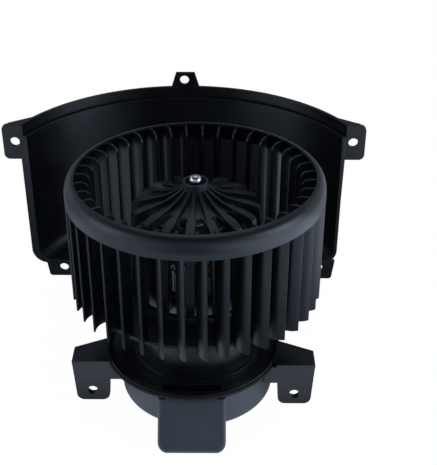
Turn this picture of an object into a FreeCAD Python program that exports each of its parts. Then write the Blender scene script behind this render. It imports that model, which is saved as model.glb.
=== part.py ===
"""Car cabin blower motor: a fan cartridge that slides sideways into its scroll housing.

Units are millimetres. Z is the fan axis and points up, away from the motor, and z = 0 is the plane
that the unit stands on. Y points away from the duct side, towards the scroll wall.
One moulding holds the base dish, the motor sleeve, the front feet and the scroll wall. The motor
stands in the sleeve, and the squirrel cage wheel is pressed on its shaft.
"""

import FreeCAD, Part
import math
import os

V = FreeCAD.Vector
UP = V(0, 0, 1)
ORIGIN = V(0, 0, 0)

# Fits
PART_GAP = 0.05          # between two still pieces that are pushed together
RUN_GAP = 0.05           # shaft in its bearings, on the radius
SIDE_GAP = 0.4           # between a turning piece and a still one, along the axis
BRUSH_GAP = 0.3          # between a carbon brush and the commutator

# Motor cover, the lowest piece
cover_height = 28.5
cover_radius = 51.2
cover_wall = 2.2
cover_floor = 2.5
cover_corner = 4.2
flange_radius = 53.6
flange_thick = 2.2
rest_ring_radius = 34.0
rest_ring_wall = 4.0
rest_ring_height = 6.0

# Cooling duct, moulded with the motor cover
duct_centre_x = -2.2
duct_width = 43.0
duct_top_y = -56.0
duct_foot_y = -77.2
duct_corner = 6.0
duct_edge_round = 2.4
duct_wall = 2.2
duct_slot_front_y = -51.0
duct_slot_inner_y = -44.6

# Base dish of the housing
plate_thick = 3.0
dish_x = -2.7
lip_radius = 58.0
lip_wall = 1.6
lip_height = 4.8
dish_slope = 11.5
seal_thick = 1.8
seal_height = 2.3
seal_drop = 0.6
sleeve_bore = 39.5
sleeve_wall = 2.5
sleeve_height = 42.0
sleeve_rim = 1.6

# Front feet
left_foot_outer_x = 82.0
right_foot_outer_x = 77.8
foot_width = 25.3
foot_taper = 1.9
foot_low = 0.8
foot_left_y = -24.0
foot_right_y = -27.4
foot_thick = 4.2
foot_shelf = 2.6
left_foot_hole_x = 69.6
right_foot_hole_x = 64.9
foot_hole_z = 8.9
foot_corner = 5.0
foot_shelf_outer = 15.3
foot_shelf_inner = 27.4
foot_web_z = 18.4
screw_hole_radius = 3.5

# Scroll wall behind the wheel
pan_x = -10.1
tab_centre_x = -10.5
pan_centre_y = 42.8
pan_radius = 123.5
pan_wall = 2.2
rim_y = 97.0
pan_floor_step = 5.5
pan_floor_thick = 2.5
pan_height = 106.0
pan_corner = 8.5
tongue_height = 2.0
groove_width = 1.3
upstand_wall = 2.2
upstand_height = 8.0
rim_drop = 1.5
left_rim_more = 0.5
right_rim_top = 1.8
right_rim_low = 3.6
bridge_near_half = 58.0
bridge_near_y = 8.0
bridge_far_half = pan_radius - 37.5
skirt_wall = 3.0
bridge_rib = 1.8
bridge_rib_gap = 34.0
bridge_cross_y = 82.0

# Screw tabs of the scroll wall
tab_thick = 2.5
tab_corner = 4.0
upper_tab_hole_out = 9.7
upper_tab_reach = 8.6
upper_tab_top = 13.2
upper_tab_low = 13.5
upper_tab_hole_z = 134.7
lower_tab_z = 28.4
left_lower_hole_in = 16.7
right_lower_hole_in = 9.3
lower_tab_half = 13.2
lower_tab_drop = 7.4
right_lower_tab_half = 12.4
right_lower_tab_drop = 9.7
top_tab_x = -11.7
top_tab_hole_x = -12.4
top_tab_base_half = 10.9
top_tab_head_half = 7.1
top_tab_height = 11.2
top_tab_hole_rise = 5.3

# Fan wheel
wheel_gap = 44.7
wheel_height = 82.4
wheel_radius = 80.0
ring_height = 13.2
ring_eye = wheel_radius - 6.3
ring_wall = 1.8
ring_bend = 9.6
blade_count = 39
blade_phase = -93.4
blade_inner = wheel_radius - 15.5
blade_outer = wheel_radius - 0.7
blade_straight = 5.5
blade_turn = 61.0
blade_thick = 1.2
blade_drop = 1.5
blade_corner = 5.0
back_disc_radius = wheel_radius - 10.8
back_disc_thick = 2.5

# Wheel hub: a cage of spokes over the motor
hub_height = wheel_height - 5.9
hub_radius = 8.0
hub_length = 25.5
hub_pocket_radius = 6.5
hub_pocket_depth = 4.0
spoke_count = 16
spoke_phase = -93.9
spoke_width = 5.4
spoke_rib = 1.4
spoke_rib_rise = 1.7
spoke_depth = 5.5
cage_shoulder = 40.2
cage_foot = 44.0
cage_wall = 3.0
cage_top_drop = 15.4
cage_sill = 4.5
window_start = 25.8

# Motor
shaft_radius = 4.0
shaft_proud = 3.8
shaft_end_round = 3.2
can_radius = 36.0
can_wall = 2.0
can_rise = 6.0
can_length = 72.0
can_boss_radius = 10.5
bearing_radius = 8.0
bearing_length = 10.0
boss_floor = 2.0
retainer_thick = 0.8
washer_radius = 7.0
washer_thick = 1.0
magnet_thick = 5.6
magnet_length = 44.0
magnet_spring_span = 48.0
magnet_side_gap = 4.0
magnet_span = 180.0 - magnet_spring_span - 2 * magnet_side_gap
air_gap = 0.8
core_length = 36.0
core_slots = 12
slot_depth = 14.0
slot_width = 5.0
slot_mouth = 2.2
end_turn_height = 9.0
end_turn_inner = 9.0
end_turn_outer = 25.0
commutator_radius = 11.0
commutator_length = 17.0
commutator_cut = 0.6

# Brush card and what it carries
card_thick = 3.0
card_radius = 34.4
card_hole = 13.6
holder_reach = 29.0
holder_start = 13.0
holder_wall = 0.8
brush_size = 6.4
brush_length = 10.0
brush_spring_radius = 2.7
choke_radius = 4.2
choke_core_radius = 2.4
choke_headroom = 9.0
choke_turns = 9
choke_x = 12.0
choke_y = 21.5
capacitor_x = 9.5
capacitor_y = -23.0
capacitor_width = 11.0
capacitor_depth = 5.0
capacitor_height = 13.0

# End bracket over the brushes
bracket_radius = 35.6
bracket_seat_width = 3.0
bracket_seat_height = 3.0
bracket_post_half = 5.0
bracket_plate_above = 1.0
bracket_plate_thick = 3.0
bracket_boss_radius = 11.0

# Rubber rings around the motor
ring_rubber_height = 7.0
rubber_base_lip = 6.0
rubber_lip_wall = 1.8

# Connector at the back of the cover
socket_half_width = 13.0
socket_height = 14.0
socket_centre_z = 15.0
socket_reach = 22.0
socket_wall = 1.8
busbar_x = 6.0
busbar_width = 4.0
busbar_thick = 0.8
blade_terminal_width = 6.3

# Cover screws
cover_screw_angles = (20.0, 55.0, 125.0, 160.0)
cover_screw_circle = 54.6
cover_screw_ear = 4.6
cover_screw_shank = 1.5
cover_screw_head = 3.0
cover_screw_head_height = 2.0
cover_screw_length = 5.0
cover_screw_boss = 3.4
cover_screw_boss_height = 3.0

# Levels that follow from the sizes above
plate_low = cover_height
plate_top = plate_low + plate_thick
lip_top = plate_low + lip_height
wheel_low = lip_top + wheel_gap
wheel_top = wheel_low + wheel_height
disc_top = wheel_low + back_disc_thick
hub_top = wheel_low + hub_height
hub_low = hub_top - hub_length
cage_top = hub_top - cage_top_drop
can_top = wheel_low + can_rise
can_low = can_top - can_length
card_top = can_top + card_thick
pan_floor_low = plate_low + pan_floor_step
pan_floor_top = pan_floor_low + pan_floor_thick
pan_top = pan_floor_low + pan_height
ledge_top = pan_top - tongue_height
upstand_top = pan_top + upstand_height
pan_outer = pan_radius + pan_wall
upstand_inner = pan_outer + groove_width
upstand_outer = upstand_inner + upstand_wall
upper_bearing_low = hub_low - 3.2 - bearing_length - retainer_thick
bracket_plate_low = upper_bearing_low + bracket_plate_above
bracket_plate_top = bracket_plate_low + bracket_plate_thick
choke_height = bracket_plate_low - card_top - choke_headroom
lower_boss_low = cover_floor + 0.5
lower_bearing_low = lower_boss_low + boss_floor + 1.0
core_mid = can_low + 0.53 * can_length
core_low = core_mid - core_length / 2
core_top = core_mid + core_length / 2
commutator_low = can_top + 0.5
rubber_base_low = cover_floor + rest_ring_height
magnet_inner = can_radius - can_wall - magnet_thick
core_radius = magnet_inner - air_gap


def rod(radius, low, high, x=0.0, y=0.0):
    """Return an upright cylinder between two heights."""
    return Part.makeCylinder(radius, high - low, V(x, y, low))


def tube(outer, inner, low, high, x=0.0, y=0.0):
    """Return an upright tube between two heights."""
    return rod(outer, low, high, x, y).cut(rod(inner, low - 1, high + 1, x, y))


def block(x0, x1, y0, y1, z0, z1):
    """Return a box from its lowest and highest corners."""
    return Part.makeBox(x1 - x0, y1 - y0, z1 - z0, V(x0, y0, z0))


def slab(points, low, high):
    """Return an upright prism on a plan outline."""
    corners = [V(x, y, low) for x, y in points]
    face = Part.Face(Part.makePolygon(corners + [corners[0]]))
    return face.extrude(V(0, 0, high - low))


def plate_y(points, near, far):
    """Return a plate that faces along Y, from its outline in X and Z."""
    corners = [V(x, near, z) for x, z in points]
    face = Part.Face(Part.makePolygon(corners + [corners[0]]))
    return face.extrude(V(0, far - near, 0))


def turned(edges):
    """Return the solid that a closed profile in the XZ plane sweeps about Z."""
    face = Part.Face(Part.Wire(edges))
    return Part.Solid(face.revolve(ORIGIN, UP, 360))


def line(start, end):
    """Return a straight profile edge between two points given as radius and height."""
    return Part.makeLine(V(start[0], 0, start[1]), V(end[0], 0, end[1]))


def arc(start, middle, end):
    """Return a profile arc through three points given as radius and height."""
    points = [V(p[0], 0, p[1]) for p in (start, middle, end)]
    return Part.Arc(points[0], points[1], points[2]).toShape()


def smooth(points):
    """Return a smooth profile curve through points given as radius and height."""
    curve = Part.BSplineCurve()
    curve.interpolate([V(r, 0, z) for r, z in points])
    return curve.toShape()


def spun(shape, degrees):
    """Return a copy turned about the fan axis."""
    copy = shape.copy()
    copy.rotate(ORIGIN, UP, degrees)
    return copy


def hole_y(x, z, near, far):
    """Return the cutter for one screw hole that runs along Y."""
    return Part.makeCylinder(screw_hole_radius, far - near, V(x, near, z), V(0, 1, 0))


def rounded_along_y(shape, radius, low, high):
    """Round the edges that run along Y and whose height lies between two values."""
    edges = []
    for e in shape.Edges:
        along = abs(e.tangentAt(e.FirstParameter).y) > 0.99
        if along and low <= e.CenterOfMass.z <= high:
            edges.append(e)
    return shape.makeFillet(radius, edges)


def export(shape, node):
    """Write one node after joining faces that lie in one surface."""
    clean = shape.removeSplitter()
    if not clean.isValid() or clean.Volume < 0.99 * shape.Volume:
        clean = shape
    clean.exportStep("parts/" + node + ".step")


def dish_rod(radius, low, high):
    """Return an upright cylinder about the dish's own centre."""
    return rod(radius, low, high, dish_x, 0)


def base_dish():
    """Round base plate with its raised bead, and the sleeve that holds the motor."""
    edge = lip_radius - lip_wall
    crown = (edge + 0.5 * lip_wall, lip_top)
    bowl = [(edge, lip_top - 0.6), (edge - 0.3 * dish_slope, lip_top - 1.5),
            (edge - 0.6 * dish_slope, plate_top + 0.25), (edge - dish_slope, plate_top)]
    edges = [line((0, plate_low), (lip_radius, plate_low)),
             line((lip_radius, plate_low), (lip_radius, lip_top - 0.6)),
             arc((lip_radius, lip_top - 0.6), (lip_radius - 0.15, lip_top - 0.15), crown),
             arc(crown, (edge + 0.15, lip_top - 0.15), bowl[0]),
             smooth(bowl), line(bowl[-1], (0, plate_top)), line((0, plate_top), (0, plate_low))]
    plate = turned(edges)
    plate.translate(V(dish_x, 0, 0))
    sleeve_top = plate_low + sleeve_height
    dish = plate.fuse(rod(sleeve_bore + sleeve_wall, plate_low, sleeve_top))
    for x, y in cover_screw_places():
        dish = dish.fuse(rod(cover_screw_boss, plate_low, plate_top + cover_screw_boss_height, x, y))
    dish = dish.cut(rod(sleeve_bore, plate_low - 1, sleeve_top - sleeve_rim))
    dish = dish.cut(rod(sleeve_bore - sleeve_rim, plate_low - 1, sleeve_top + 1))
    gap = busbar_passage(plate_low, sleeve_top + 1).common(rod(sleeve_bore, plate_low, sleeve_top + 1))
    dish = dish.cut(gap)
    half = duct_width / 2 - duct_wall - 1.0
    slot = block(duct_centre_x - half, duct_centre_x + half, duct_slot_front_y, duct_slot_inner_y,
                 plate_low - 1, plate_top + 1)
    return dish.cut(slot)


def rim_seal():
    """Rubber seal bonded to the outside of the dish's rim, from one front foot to the other."""
    high = lip_top - seal_drop
    low = high - seal_height
    near = lip_radius + PART_GAP
    far = near + seal_thick
    bend = 0.45 * seal_height
    edges = [line((near, low), (far - 0.7 * bend, low)),
             arc((far - 0.7 * bend, low), (far, (low + high) / 2), (far - 0.7 * bend, high)),
             line((far - 0.7 * bend, high), (near, high)), line((near, high), (near, low))]
    ring = turned(edges)
    ring.translate(V(dish_x, 0, 0))
    left = block(-far - 10, 0, -far - 10, foot_left_y - SIDE_GAP, low - 1, high + 1)
    right = block(0, far + 10, -far - 10, foot_right_y - SIDE_GAP, low - 1, high + 1)
    return ring.common(left.fuse(right))


def cover_screw_places():
    """Return the plan positions of the cover screws."""
    places = []
    for angle in cover_screw_angles:
        turn = math.radians(angle)
        places.append((cover_screw_circle * math.cos(turn), cover_screw_circle * math.sin(turn)))
    return places


def foot(side, outer_x, hole_x, front_y):
    """One front foot: a hanging screw plate under a shelf that joins the base plate."""
    back_y = front_y + foot_thick
    inner_x = outer_x - foot_width
    outline = [(side * (outer_x - foot_taper), foot_low), (side * (inner_x + foot_taper), foot_low),
               (side * inner_x, lip_top), (side * outer_x, lip_top)]
    leg = plate_y(outline, front_y, back_y)
    leg = rounded_along_y(leg, foot_corner, foot_low - 1, foot_low + 1)
    shelf = slab([(side * outer_x, front_y), (side * outer_x, front_y + foot_shelf_outer),
                  (side * inner_x, front_y + foot_shelf_inner), (side * (lip_radius - 8), front_y + 4),
                  (side * inner_x, front_y)], lip_top - foot_shelf, lip_top)
    shelf = shelf.cut(dish_rod(lip_radius - lip_wall, plate_top, lip_top + 1))
    web_end = math.sqrt((cover_radius + 1.0) ** 2 - front_y ** 2)
    web = plate_y([(side * (inner_x + 3), foot_web_z), (side * (inner_x + 3), plate_top),
                   (side * web_end, plate_top), (side * web_end, foot_web_z)], front_y, back_y)
    web = web.cut(rod(cover_radius + 1.0, 0, plate_low))
    web = web.cut(rod(flange_radius + 1.0, plate_low - flange_thick - 0.8, plate_low))
    legs = leg.fuse([shelf, web])
    return legs.cut(hole_y(side * hole_x, foot_hole_z, front_y - 1, back_y + 1))


def pan_cylinder(radius, low, high, near):
    """Upright cylinder of the scroll wall, kept only behind a plane of constant Y."""
    drum = rod(radius, low, high, pan_x, pan_centre_y)
    keep = block(pan_x - 200, pan_x + 200, near, pan_centre_y + 200, low - 1, high + 1)
    return drum.common(keep)


def scroll_wall():
    """Curved wall with its floor, the tongue along its edge and the outer upstand at the top."""
    outer = rod(pan_outer, pan_floor_low, pan_top, pan_x, pan_centre_y)
    outer = outer.makeFillet(pan_corner + pan_wall, low_edges(outer, pan_floor_low))
    inner = rod(pan_radius, pan_floor_top, pan_top + 20, pan_x, pan_centre_y)
    inner = inner.makeFillet(pan_corner, low_edges(inner, pan_floor_top))
    keep = block(pan_x - 200, pan_x + 200, rim_y - tongue_height, pan_centre_y + 200, 0, pan_top + 30)
    shell = outer.cut(inner).common(keep)
    ledge = pan_cylinder(upstand_outer, ledge_top - pan_wall, ledge_top, rim_y)
    ledge = ledge.cut(rod(pan_radius + 0.5, 0, pan_top + 30, pan_x, pan_centre_y))
    upstand = pan_cylinder(upstand_outer, ledge_top - pan_wall, upstand_top, rim_y)
    upstand = upstand.cut(rod(upstand_inner, 0, upstand_top + 1, pan_x, pan_centre_y))
    return shell.fuse([ledge, upstand, side_rim()])


def low_edges(shape, height):
    """Return the edges at one height."""
    found = []
    for e in shape.Edges:
        if abs(e.BoundBox.ZMax - height) < 0.01 and abs(e.BoundBox.ZMin - height) < 0.01:
            found.append(e)
    return found


def half_chord(radius):
    """Half the width of a scroll wall circle at the rim plane."""
    return math.sqrt(radius ** 2 - (rim_y - pan_centre_y) ** 2)


def side_rim():
    """Flat flange round the sides and the bottom of the open front."""
    wide = half_chord(upstand_outer)
    low = pan_floor_low - rim_drop
    left = pan_x - wide - left_rim_more
    plate = plate_y([(left, low), (pan_x + wide - right_rim_low, low),
                     (pan_x + wide - right_rim_top, ledge_top), (left, ledge_top)],
                    rim_y, rim_y + tab_thick)
    plate = rounded_along_y(plate, pan_corner + pan_wall + rim_drop, low - 1, low + 1)
    opening = half_chord(pan_radius) + 0.6
    hollow = block(pan_x - opening, pan_x + opening, rim_y - 1, rim_y + tab_thick + 1,
                   pan_floor_low + 1, ledge_top + 1)
    hollow = rounded_along_y(hollow, pan_corner, pan_floor_low, pan_floor_low + 2)
    return plate.cut(hollow)


def bridge():
    """Plate under the wheel that joins the base dish to the scroll wall, with a skirt each side."""
    low = pan_floor_low
    near_x = bridge_near_half
    far_left = pan_x - bridge_far_half
    far_right = pan_x + bridge_far_half
    outline = [(-near_x, bridge_near_y), (far_left, rim_y + tab_thick),
               (far_right, rim_y + tab_thick), (near_x, bridge_near_y)]
    plate = slab(outline, low, pan_floor_top)
    plate = plate.cut(dish_rod(lip_radius - lip_wall, low - 1, pan_floor_top + 1))
    body = slab(outline, plate_low, pan_floor_top)
    inner = [(-near_x + skirt_wall, bridge_near_y - 20), (-near_x + skirt_wall, bridge_near_y),
             (far_left + skirt_wall, rim_y + tab_thick + 9), (far_right - skirt_wall, rim_y + tab_thick + 9),
             (near_x - skirt_wall, bridge_near_y), (near_x - skirt_wall, bridge_near_y - 20)]
    skirts = body.cut(slab(inner, plate_low - 1, pan_floor_top + 1))
    skirts = skirts.cut(dish_rod(lip_radius - lip_wall, plate_low - 1, pan_floor_top + 1))
    collar = dish_rod(lip_radius, plate_low, pan_floor_top)
    collar = collar.cut(dish_rod(lip_radius - lip_wall - 1.0, plate_low - 1, pan_floor_top + 1))
    far = lip_radius + abs(dish_x)
    collar = collar.common(block(-far, far, bridge_near_y, far, plate_low, pan_floor_top))
    half = bridge_rib / 2
    ribs = []
    for x in (pan_x - bridge_rib_gap, pan_x, pan_x + bridge_rib_gap):
        ribs.append(block(x - half, x + half, lip_radius - 3, rim_y + 1, plate_low + 1, low + 0.5))
    wide = bridge_far_half - 12
    ribs.append(block(pan_x - wide, pan_x + wide, bridge_cross_y - half, bridge_cross_y + half,
                      plate_low + 1, low + 0.5))
    return plate.fuse([skirts, collar] + ribs)


def upper_tab(side):
    """Screw tab at an upper corner of the scroll wall, with its web along the arc."""
    hole_x = tab_centre_x + side * (half_chord(pan_radius) + upper_tab_hole_out)
    outer_x = hole_x + side * upper_tab_reach
    inner_x = pan_x + side * (half_chord(upstand_inner) + 0.3)
    low = upper_tab_hole_z - upper_tab_low
    high = upper_tab_hole_z + upper_tab_top
    corners = [(outer_x, low), (inner_x, low), (inner_x, high), (outer_x, high)]
    tab = plate_y(corners, rim_y, rim_y + tab_thick)
    edges = []
    for e in tab.Edges:
        along = abs(e.tangentAt(e.FirstParameter).y) > 0.99
        if along and abs(e.CenterOfMass.x - outer_x) < 0.01:
            edges.append(e)
    tab = tab.makeFillet(tab_corner, edges)
    reach_y = rim_y + 16
    arc_x = pan_x + side * math.sqrt(upstand_outer ** 2 - (reach_y - pan_centre_y) ** 2)
    web = slab([(outer_x - side * tab_corner, rim_y), (inner_x, rim_y), (arc_x - side * 1.5, reach_y),
                (outer_x - side * tab_corner, rim_y + tab_thick + 1)], high - tab_thick, high)
    tab = tab.fuse(web)
    return tab.cut(hole_y(hole_x, upper_tab_hole_z, rim_y - 1, rim_y + tab_thick + 1))


def lower_tab(hole_x, left_half, right_half, drop):
    """Screw tab that hangs under the bottom edge of the scroll wall."""
    low = lower_tab_z - drop
    high = pan_floor_low + 1
    tab = plate_y([(hole_x - left_half, high), (hole_x - left_half + 2, low),
                   (hole_x + right_half - 2, low), (hole_x + right_half, high)], rim_y, rim_y + tab_thick)
    tab = rounded_along_y(tab, tab_corner * 0.6, low - 1, low + 1)
    return tab.cut(hole_y(hole_x, lower_tab_z, rim_y - 1, rim_y + tab_thick + 1))


def top_tab():
    """Screw tab that stands on the middle of the upstand."""
    back = pan_centre_y + upstand_outer
    front = back - upstand_wall
    high = upstand_top + top_tab_height
    tab = plate_y([(top_tab_x - top_tab_base_half, upstand_top - 1), (top_tab_x - top_tab_head_half, high),
                   (top_tab_x + top_tab_head_half, high), (top_tab_x + top_tab_base_half, upstand_top - 1)],
                  front, back)
    return tab.cut(hole_y(top_tab_hole_x, upstand_top + top_tab_hole_rise, front - 1, back + 1))


def housing():
    """The main moulding."""
    pieces = [bridge(), scroll_wall(), upper_tab(-1), upper_tab(1), top_tab()]
    pieces.append(foot(-1, left_foot_outer_x, left_foot_hole_x, foot_left_y))
    pieces.append(foot(1, right_foot_outer_x, right_foot_hole_x, foot_right_y))
    left_hole = tab_centre_x - half_chord(pan_radius) + left_lower_hole_in
    right_hole = tab_centre_x + half_chord(pan_radius) - right_lower_hole_in
    pieces.append(lower_tab(left_hole, lower_tab_half, lower_tab_half, lower_tab_drop))
    pieces.append(lower_tab(right_hole, lower_tab_half, right_lower_tab_half, right_lower_tab_drop))
    body = base_dish().fuse(pieces)
    body = body.cut(rod(sleeve_bore - sleeve_rim, 0, pan_floor_top + 1))
    for x, y in cover_screw_places():
        body = body.cut(rod(cover_screw_shank + PART_GAP, plate_low - 1, plate_low + cover_screw_length, x, y))
    return body


def duct_shape(inset, low, high):
    """Closed form of the cooling duct, shrunk by an inset for its hollow."""
    half = duct_width / 2 - inset
    slope = (duct_foot_y - duct_top_y) / cover_height
    profile = [V(0, duct_top_y + inset + slope * (cover_height - low), low), V(0, -30, low),
               V(0, -30, high), V(0, duct_top_y + inset + slope * (cover_height - high), high)]
    face = Part.Face(Part.makePolygon(profile + [profile[0]]))
    face.translate(V(duct_centre_x - half, 0, 0))
    body = face.extrude(V(2 * half, 0, 0))
    edges = []
    for e in body.Edges:
        at_low = abs(e.BoundBox.ZMax - low) < 0.01
        if at_low and abs(e.tangentAt(e.FirstParameter).y) > 0.99:
            edges.append(e)
    body = body.makeFillet(max(duct_corner - inset, 1.0), edges)
    if inset > 0:
        return body
    return body.makeFillet(duct_edge_round, duct_front_edges(body, slope, high))


def duct_front_edges(body, slope, high):
    """Edges round the duct's sloping front face, but not the one at its top."""
    found = []
    for e in body.Edges:
        off = [abs(v.Y - duct_top_y - slope * (cover_height - v.Z)) for v in e.Vertexes]
        if max(off) < 0.01 and min(v.Z for v in e.Vertexes) < high - 1:
            found.append(e)
    return found


def motor_cover():
    """Lower cup with its flange, rest ring, cooling duct and connector window."""
    cup = rod(cover_radius, 0, cover_height)
    cup = cup.makeFillet(cover_corner, low_edges(cup, 0))
    flange = rod(flange_radius, cover_height - flange_thick, cover_height)
    duct = duct_shape(0, 0, cover_height)
    body = cup.fuse([flange, duct])
    for x, y in cover_screw_places():
        body = body.fuse(rod(cover_screw_ear, cover_height - flange_thick, cover_height, x, y))
    hollow = rod(cover_radius - cover_wall, cover_floor, cover_height + 1)
    hollow = hollow.makeFillet(cover_corner - cover_wall, low_edges(hollow, cover_floor))
    body = body.cut(hollow)
    body = body.cut(duct_shape(duct_wall, cover_floor, cover_height + 1))
    rest = tube(rest_ring_radius, rest_ring_radius - rest_ring_wall, cover_floor - 0.5, rubber_base_low)
    body = body.fuse(rest)
    for x, y in cover_screw_places():
        hole = rod(cover_screw_shank + 0.25, cover_height - flange_thick - 1, cover_height + 1, x, y)
        body = body.cut(hole)
    low = socket_centre_z - socket_height / 2
    window = block(-socket_half_width, socket_half_width, cover_radius - cover_wall - 4, cover_radius + 2,
                   low, low + socket_height)
    return body.cut(window)


def cover_screws():
    """Screws that hold the cover to the base dish."""
    screws = []
    head_top = cover_height - flange_thick
    head_low = head_top - cover_screw_head_height
    for x, y in cover_screw_places():
        head = rod(cover_screw_head, head_low, head_top, x, y)
        shank = rod(cover_screw_shank, head_top - 0.5, plate_low + cover_screw_length - 0.3, x, y)
        cross_a = block(x - 1.6, x + 1.6, y - 0.4, y + 0.4, head_low - 1, head_low + 1.1)
        cross_b = block(x - 0.4, x + 0.4, y - 1.6, y + 1.6, head_low - 1, head_low + 1.1)
        screws.append(head.fuse(shank).cut(cross_a.fuse(cross_b)))
    return Part.makeCompound(screws)


def ring_side(inset):
    """Points of the top band's outer side, two arcs that meet smoothly, moved in by an inset."""
    return [(ring_eye + 0.02 * inset, wheel_top - inset),
            (wheel_radius - 2.4 - 0.45 * inset, wheel_top - 1.6 - 0.85 * inset),
            (wheel_radius - 0.55 - 0.93 * inset, wheel_top - 5.0 - 0.36 * inset),
            (wheel_radius - 0.14 - inset, wheel_top - 7.2 - 0.1 * inset),
            (wheel_radius - inset, wheel_top - ring_bend)]


def wheel_ring():
    """Rounded band at the top of the wheel."""
    low = wheel_top - ring_height
    outer = ring_side(0.0)
    inner = ring_side(ring_wall)
    edges = [arc(outer[0], outer[1], outer[2]), arc(outer[2], outer[3], outer[4]),
             line(outer[4], (wheel_radius, low)), line((wheel_radius, low), (inner[4][0], low)),
             line((inner[4][0], low), inner[4]), arc(inner[4], inner[3], inner[2]),
             arc(inner[2], inner[1], inner[0]), line(inner[0], outer[0])]
    return turned(edges)


def outside_ring():
    """Space outside the wheel's top band, which trims the blades."""
    side = ring_side(0.5)
    far = wheel_radius + 20
    foot = (side[4][0], side[4][1] - 1)
    edges = [arc(side[0], side[1], side[2]), arc(side[2], side[3], side[4]), line(side[4], foot),
             line(foot, (far, foot[1])), line((far, foot[1]), (far, wheel_top + 20)),
             line((far, wheel_top + 20), (side[0][0], wheel_top + 20)),
             line((side[0][0], wheel_top + 20), side[0])]
    return turned(edges)


def blade():
    """One forward curved blade, on the X axis: radial inside, bent forward at its tip."""
    turn = math.radians(blade_turn)
    start = blade_inner + blade_straight
    reach = blade_outer - start
    bend = reach / math.sin(turn)
    half = blade_thick / 2
    low = wheel_low

    def bent(angle, offset):
        return V(start + (bend - offset) * math.sin(angle), bend - (bend - offset) * math.cos(angle), low)

    def straight(x, offset):
        return V(x, offset, low)

    outer_side = [straight(blade_inner, -half), straight(start, -half)]
    inner_side = [straight(blade_inner, half), straight(start, half)]
    edges = [Part.makeLine(outer_side[0], outer_side[1]),
             Part.Arc(outer_side[1], bent(turn / 2, -half), bent(turn, -half)).toShape(),
             Part.makeLine(bent(turn, -half), bent(turn, half)),
             Part.Arc(bent(turn, half), bent(turn / 2, half), inner_side[1]).toShape(),
             Part.makeLine(inner_side[1], inner_side[0]), Part.makeLine(inner_side[0], outer_side[0])]
    high = wheel_top - blade_drop
    solid = Part.Face(Part.Wire(edges)).extrude(V(0, 0, high - low))
    tip = [e for e in low_edges(solid, high) if abs(e.CenterOfMass.x - blade_inner) < 0.01]
    solid = solid.makeFillet(blade_corner, tip)
    solid = solid.cut(outside_ring())
    tip_angle = math.degrees(math.atan2(bend - bend * math.cos(turn), blade_outer))
    return spun(solid, -tip_angle)


def cage_profile():
    """Section of the hub cage: trumpet at the shaft, shoulder, leg and back disc."""
    top = cage_top
    crown = [(hub_radius - 0.5, top + 10.4), (12.5, top + 6.0), (20.0, top + 2.2), (28.0, top + 0.9),
             (cage_shoulder - 2.5, top)]
    foot_r = cage_foot
    sill = disc_top
    under = [(cage_shoulder - cage_wall - 1.0, top - spoke_depth), (28.0, top - 2.6), (20.0, top - 0.4),
             (12.5, top + 3.2), (hub_radius - 0.5, top + 6.9)]
    shoulder = (cage_shoulder, top - 2.6)
    inner_foot = foot_r - cage_wall
    return [smooth(crown), arc(crown[-1], (cage_shoulder - 0.7, top - 0.8), shoulder),
            line(shoulder, (foot_r, sill + 3)),
            arc((foot_r, sill + 3), (foot_r + 0.9, sill + 0.9), (foot_r + 3, sill)),
            line((foot_r + 3, sill), (back_disc_radius, sill)),
            line((back_disc_radius, sill), (back_disc_radius, wheel_low)),
            line((back_disc_radius, wheel_low), (inner_foot, wheel_low)),
            line((inner_foot, wheel_low), under[0]),
            smooth(under), line(under[-1], crown[0])]


def cage_window(index):
    """Cutter for the gap between two spokes: arched at its inner end, open down to the sill."""
    step = 360.0 / spoke_count
    half_step = math.radians(step / 2)
    edge = spoke_width / 2
    arch = window_start * math.sin(half_step) - edge
    inner_x = window_start * math.cos(half_step)
    far = cage_foot + 6
    far_y = far * math.tan(half_step) - edge / math.cos(half_step)
    near_y = inner_x * math.tan(half_step) - edge / math.cos(half_step)
    low = disc_top + cage_sill - back_disc_thick
    gap = slab([(inner_x, -near_y), (far, -far_y), (far, far_y), (inner_x, near_y)], low, hub_top)
    gap = gap.fuse(rod(arch, low, hub_top, inner_x, 0))
    return spun(gap, spoke_phase + step * (index + 0.5))


def spoke_rib_solid():
    """Rib along the top of one spoke: thin at the hub, as wide as the spoke at its outer end."""
    top = cage_top
    rise = spoke_rib_rise
    points = [(hub_radius - 1.0, top + 11.6 + 0.5 * rise), (12.5, top + 7.0 + rise),
              (20.0, top + 3.0 + rise), (28.0, top + 1.2 + rise), (cage_shoulder - 2.5, top + 0.1)]
    end = (cage_shoulder - 2.5, top - 1.0)
    edges = [smooth(points), line(points[-1], end), line(end, (28.0, top - 1.0)),
             line((28.0, top - 1.0), (hub_radius - 1.0, top + 8.0)),
             line((hub_radius - 1.0, top + 8.0), points[0])]
    face = Part.Face(Part.Wire(edges))
    face.translate(V(0, -spoke_width, 0))
    tall = face.extrude(V(0, 2 * spoke_width, 0))
    thin = spoke_rib / 2
    wide = spoke_width / 2
    flare = window_start
    right = [(0, thin), (flare - 6, thin + 0.1), (flare - 2, thin + 0.6), (flare + 1, thin + 1.2),
             (flare + 4, wide), (cage_shoulder + 1, wide)]
    left = [(x, -y) for x, y in reversed(right)]
    return tall.common(slab(right + left, top - 5, top + 20))


def fan_wheel():
    """The wheel, one moulding."""
    cage = turned(cage_profile())
    cage = cage.cut([cage_window(i) for i in range(spoke_count)])
    step = 360.0 / spoke_count
    rib = spoke_rib_solid()
    ribs = [spun(rib, spoke_phase + step * i) for i in range(spoke_count)]
    collar = rod(hub_radius, hub_low, hub_top)
    cage = cage.fuse(ribs + [collar])
    cage = cage.cut(rod(shaft_radius + RUN_GAP / 2, hub_low - 1, hub_top + 1))
    cage = cage.cut(rod(hub_pocket_radius, hub_top - hub_pocket_depth, hub_top + 1))
    one = blade()
    pitch = 360.0 / blade_count
    blades = [spun(one, blade_phase + pitch * i) for i in range(blade_count)]
    return cage.fuse(blades + [wheel_ring()])


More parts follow.
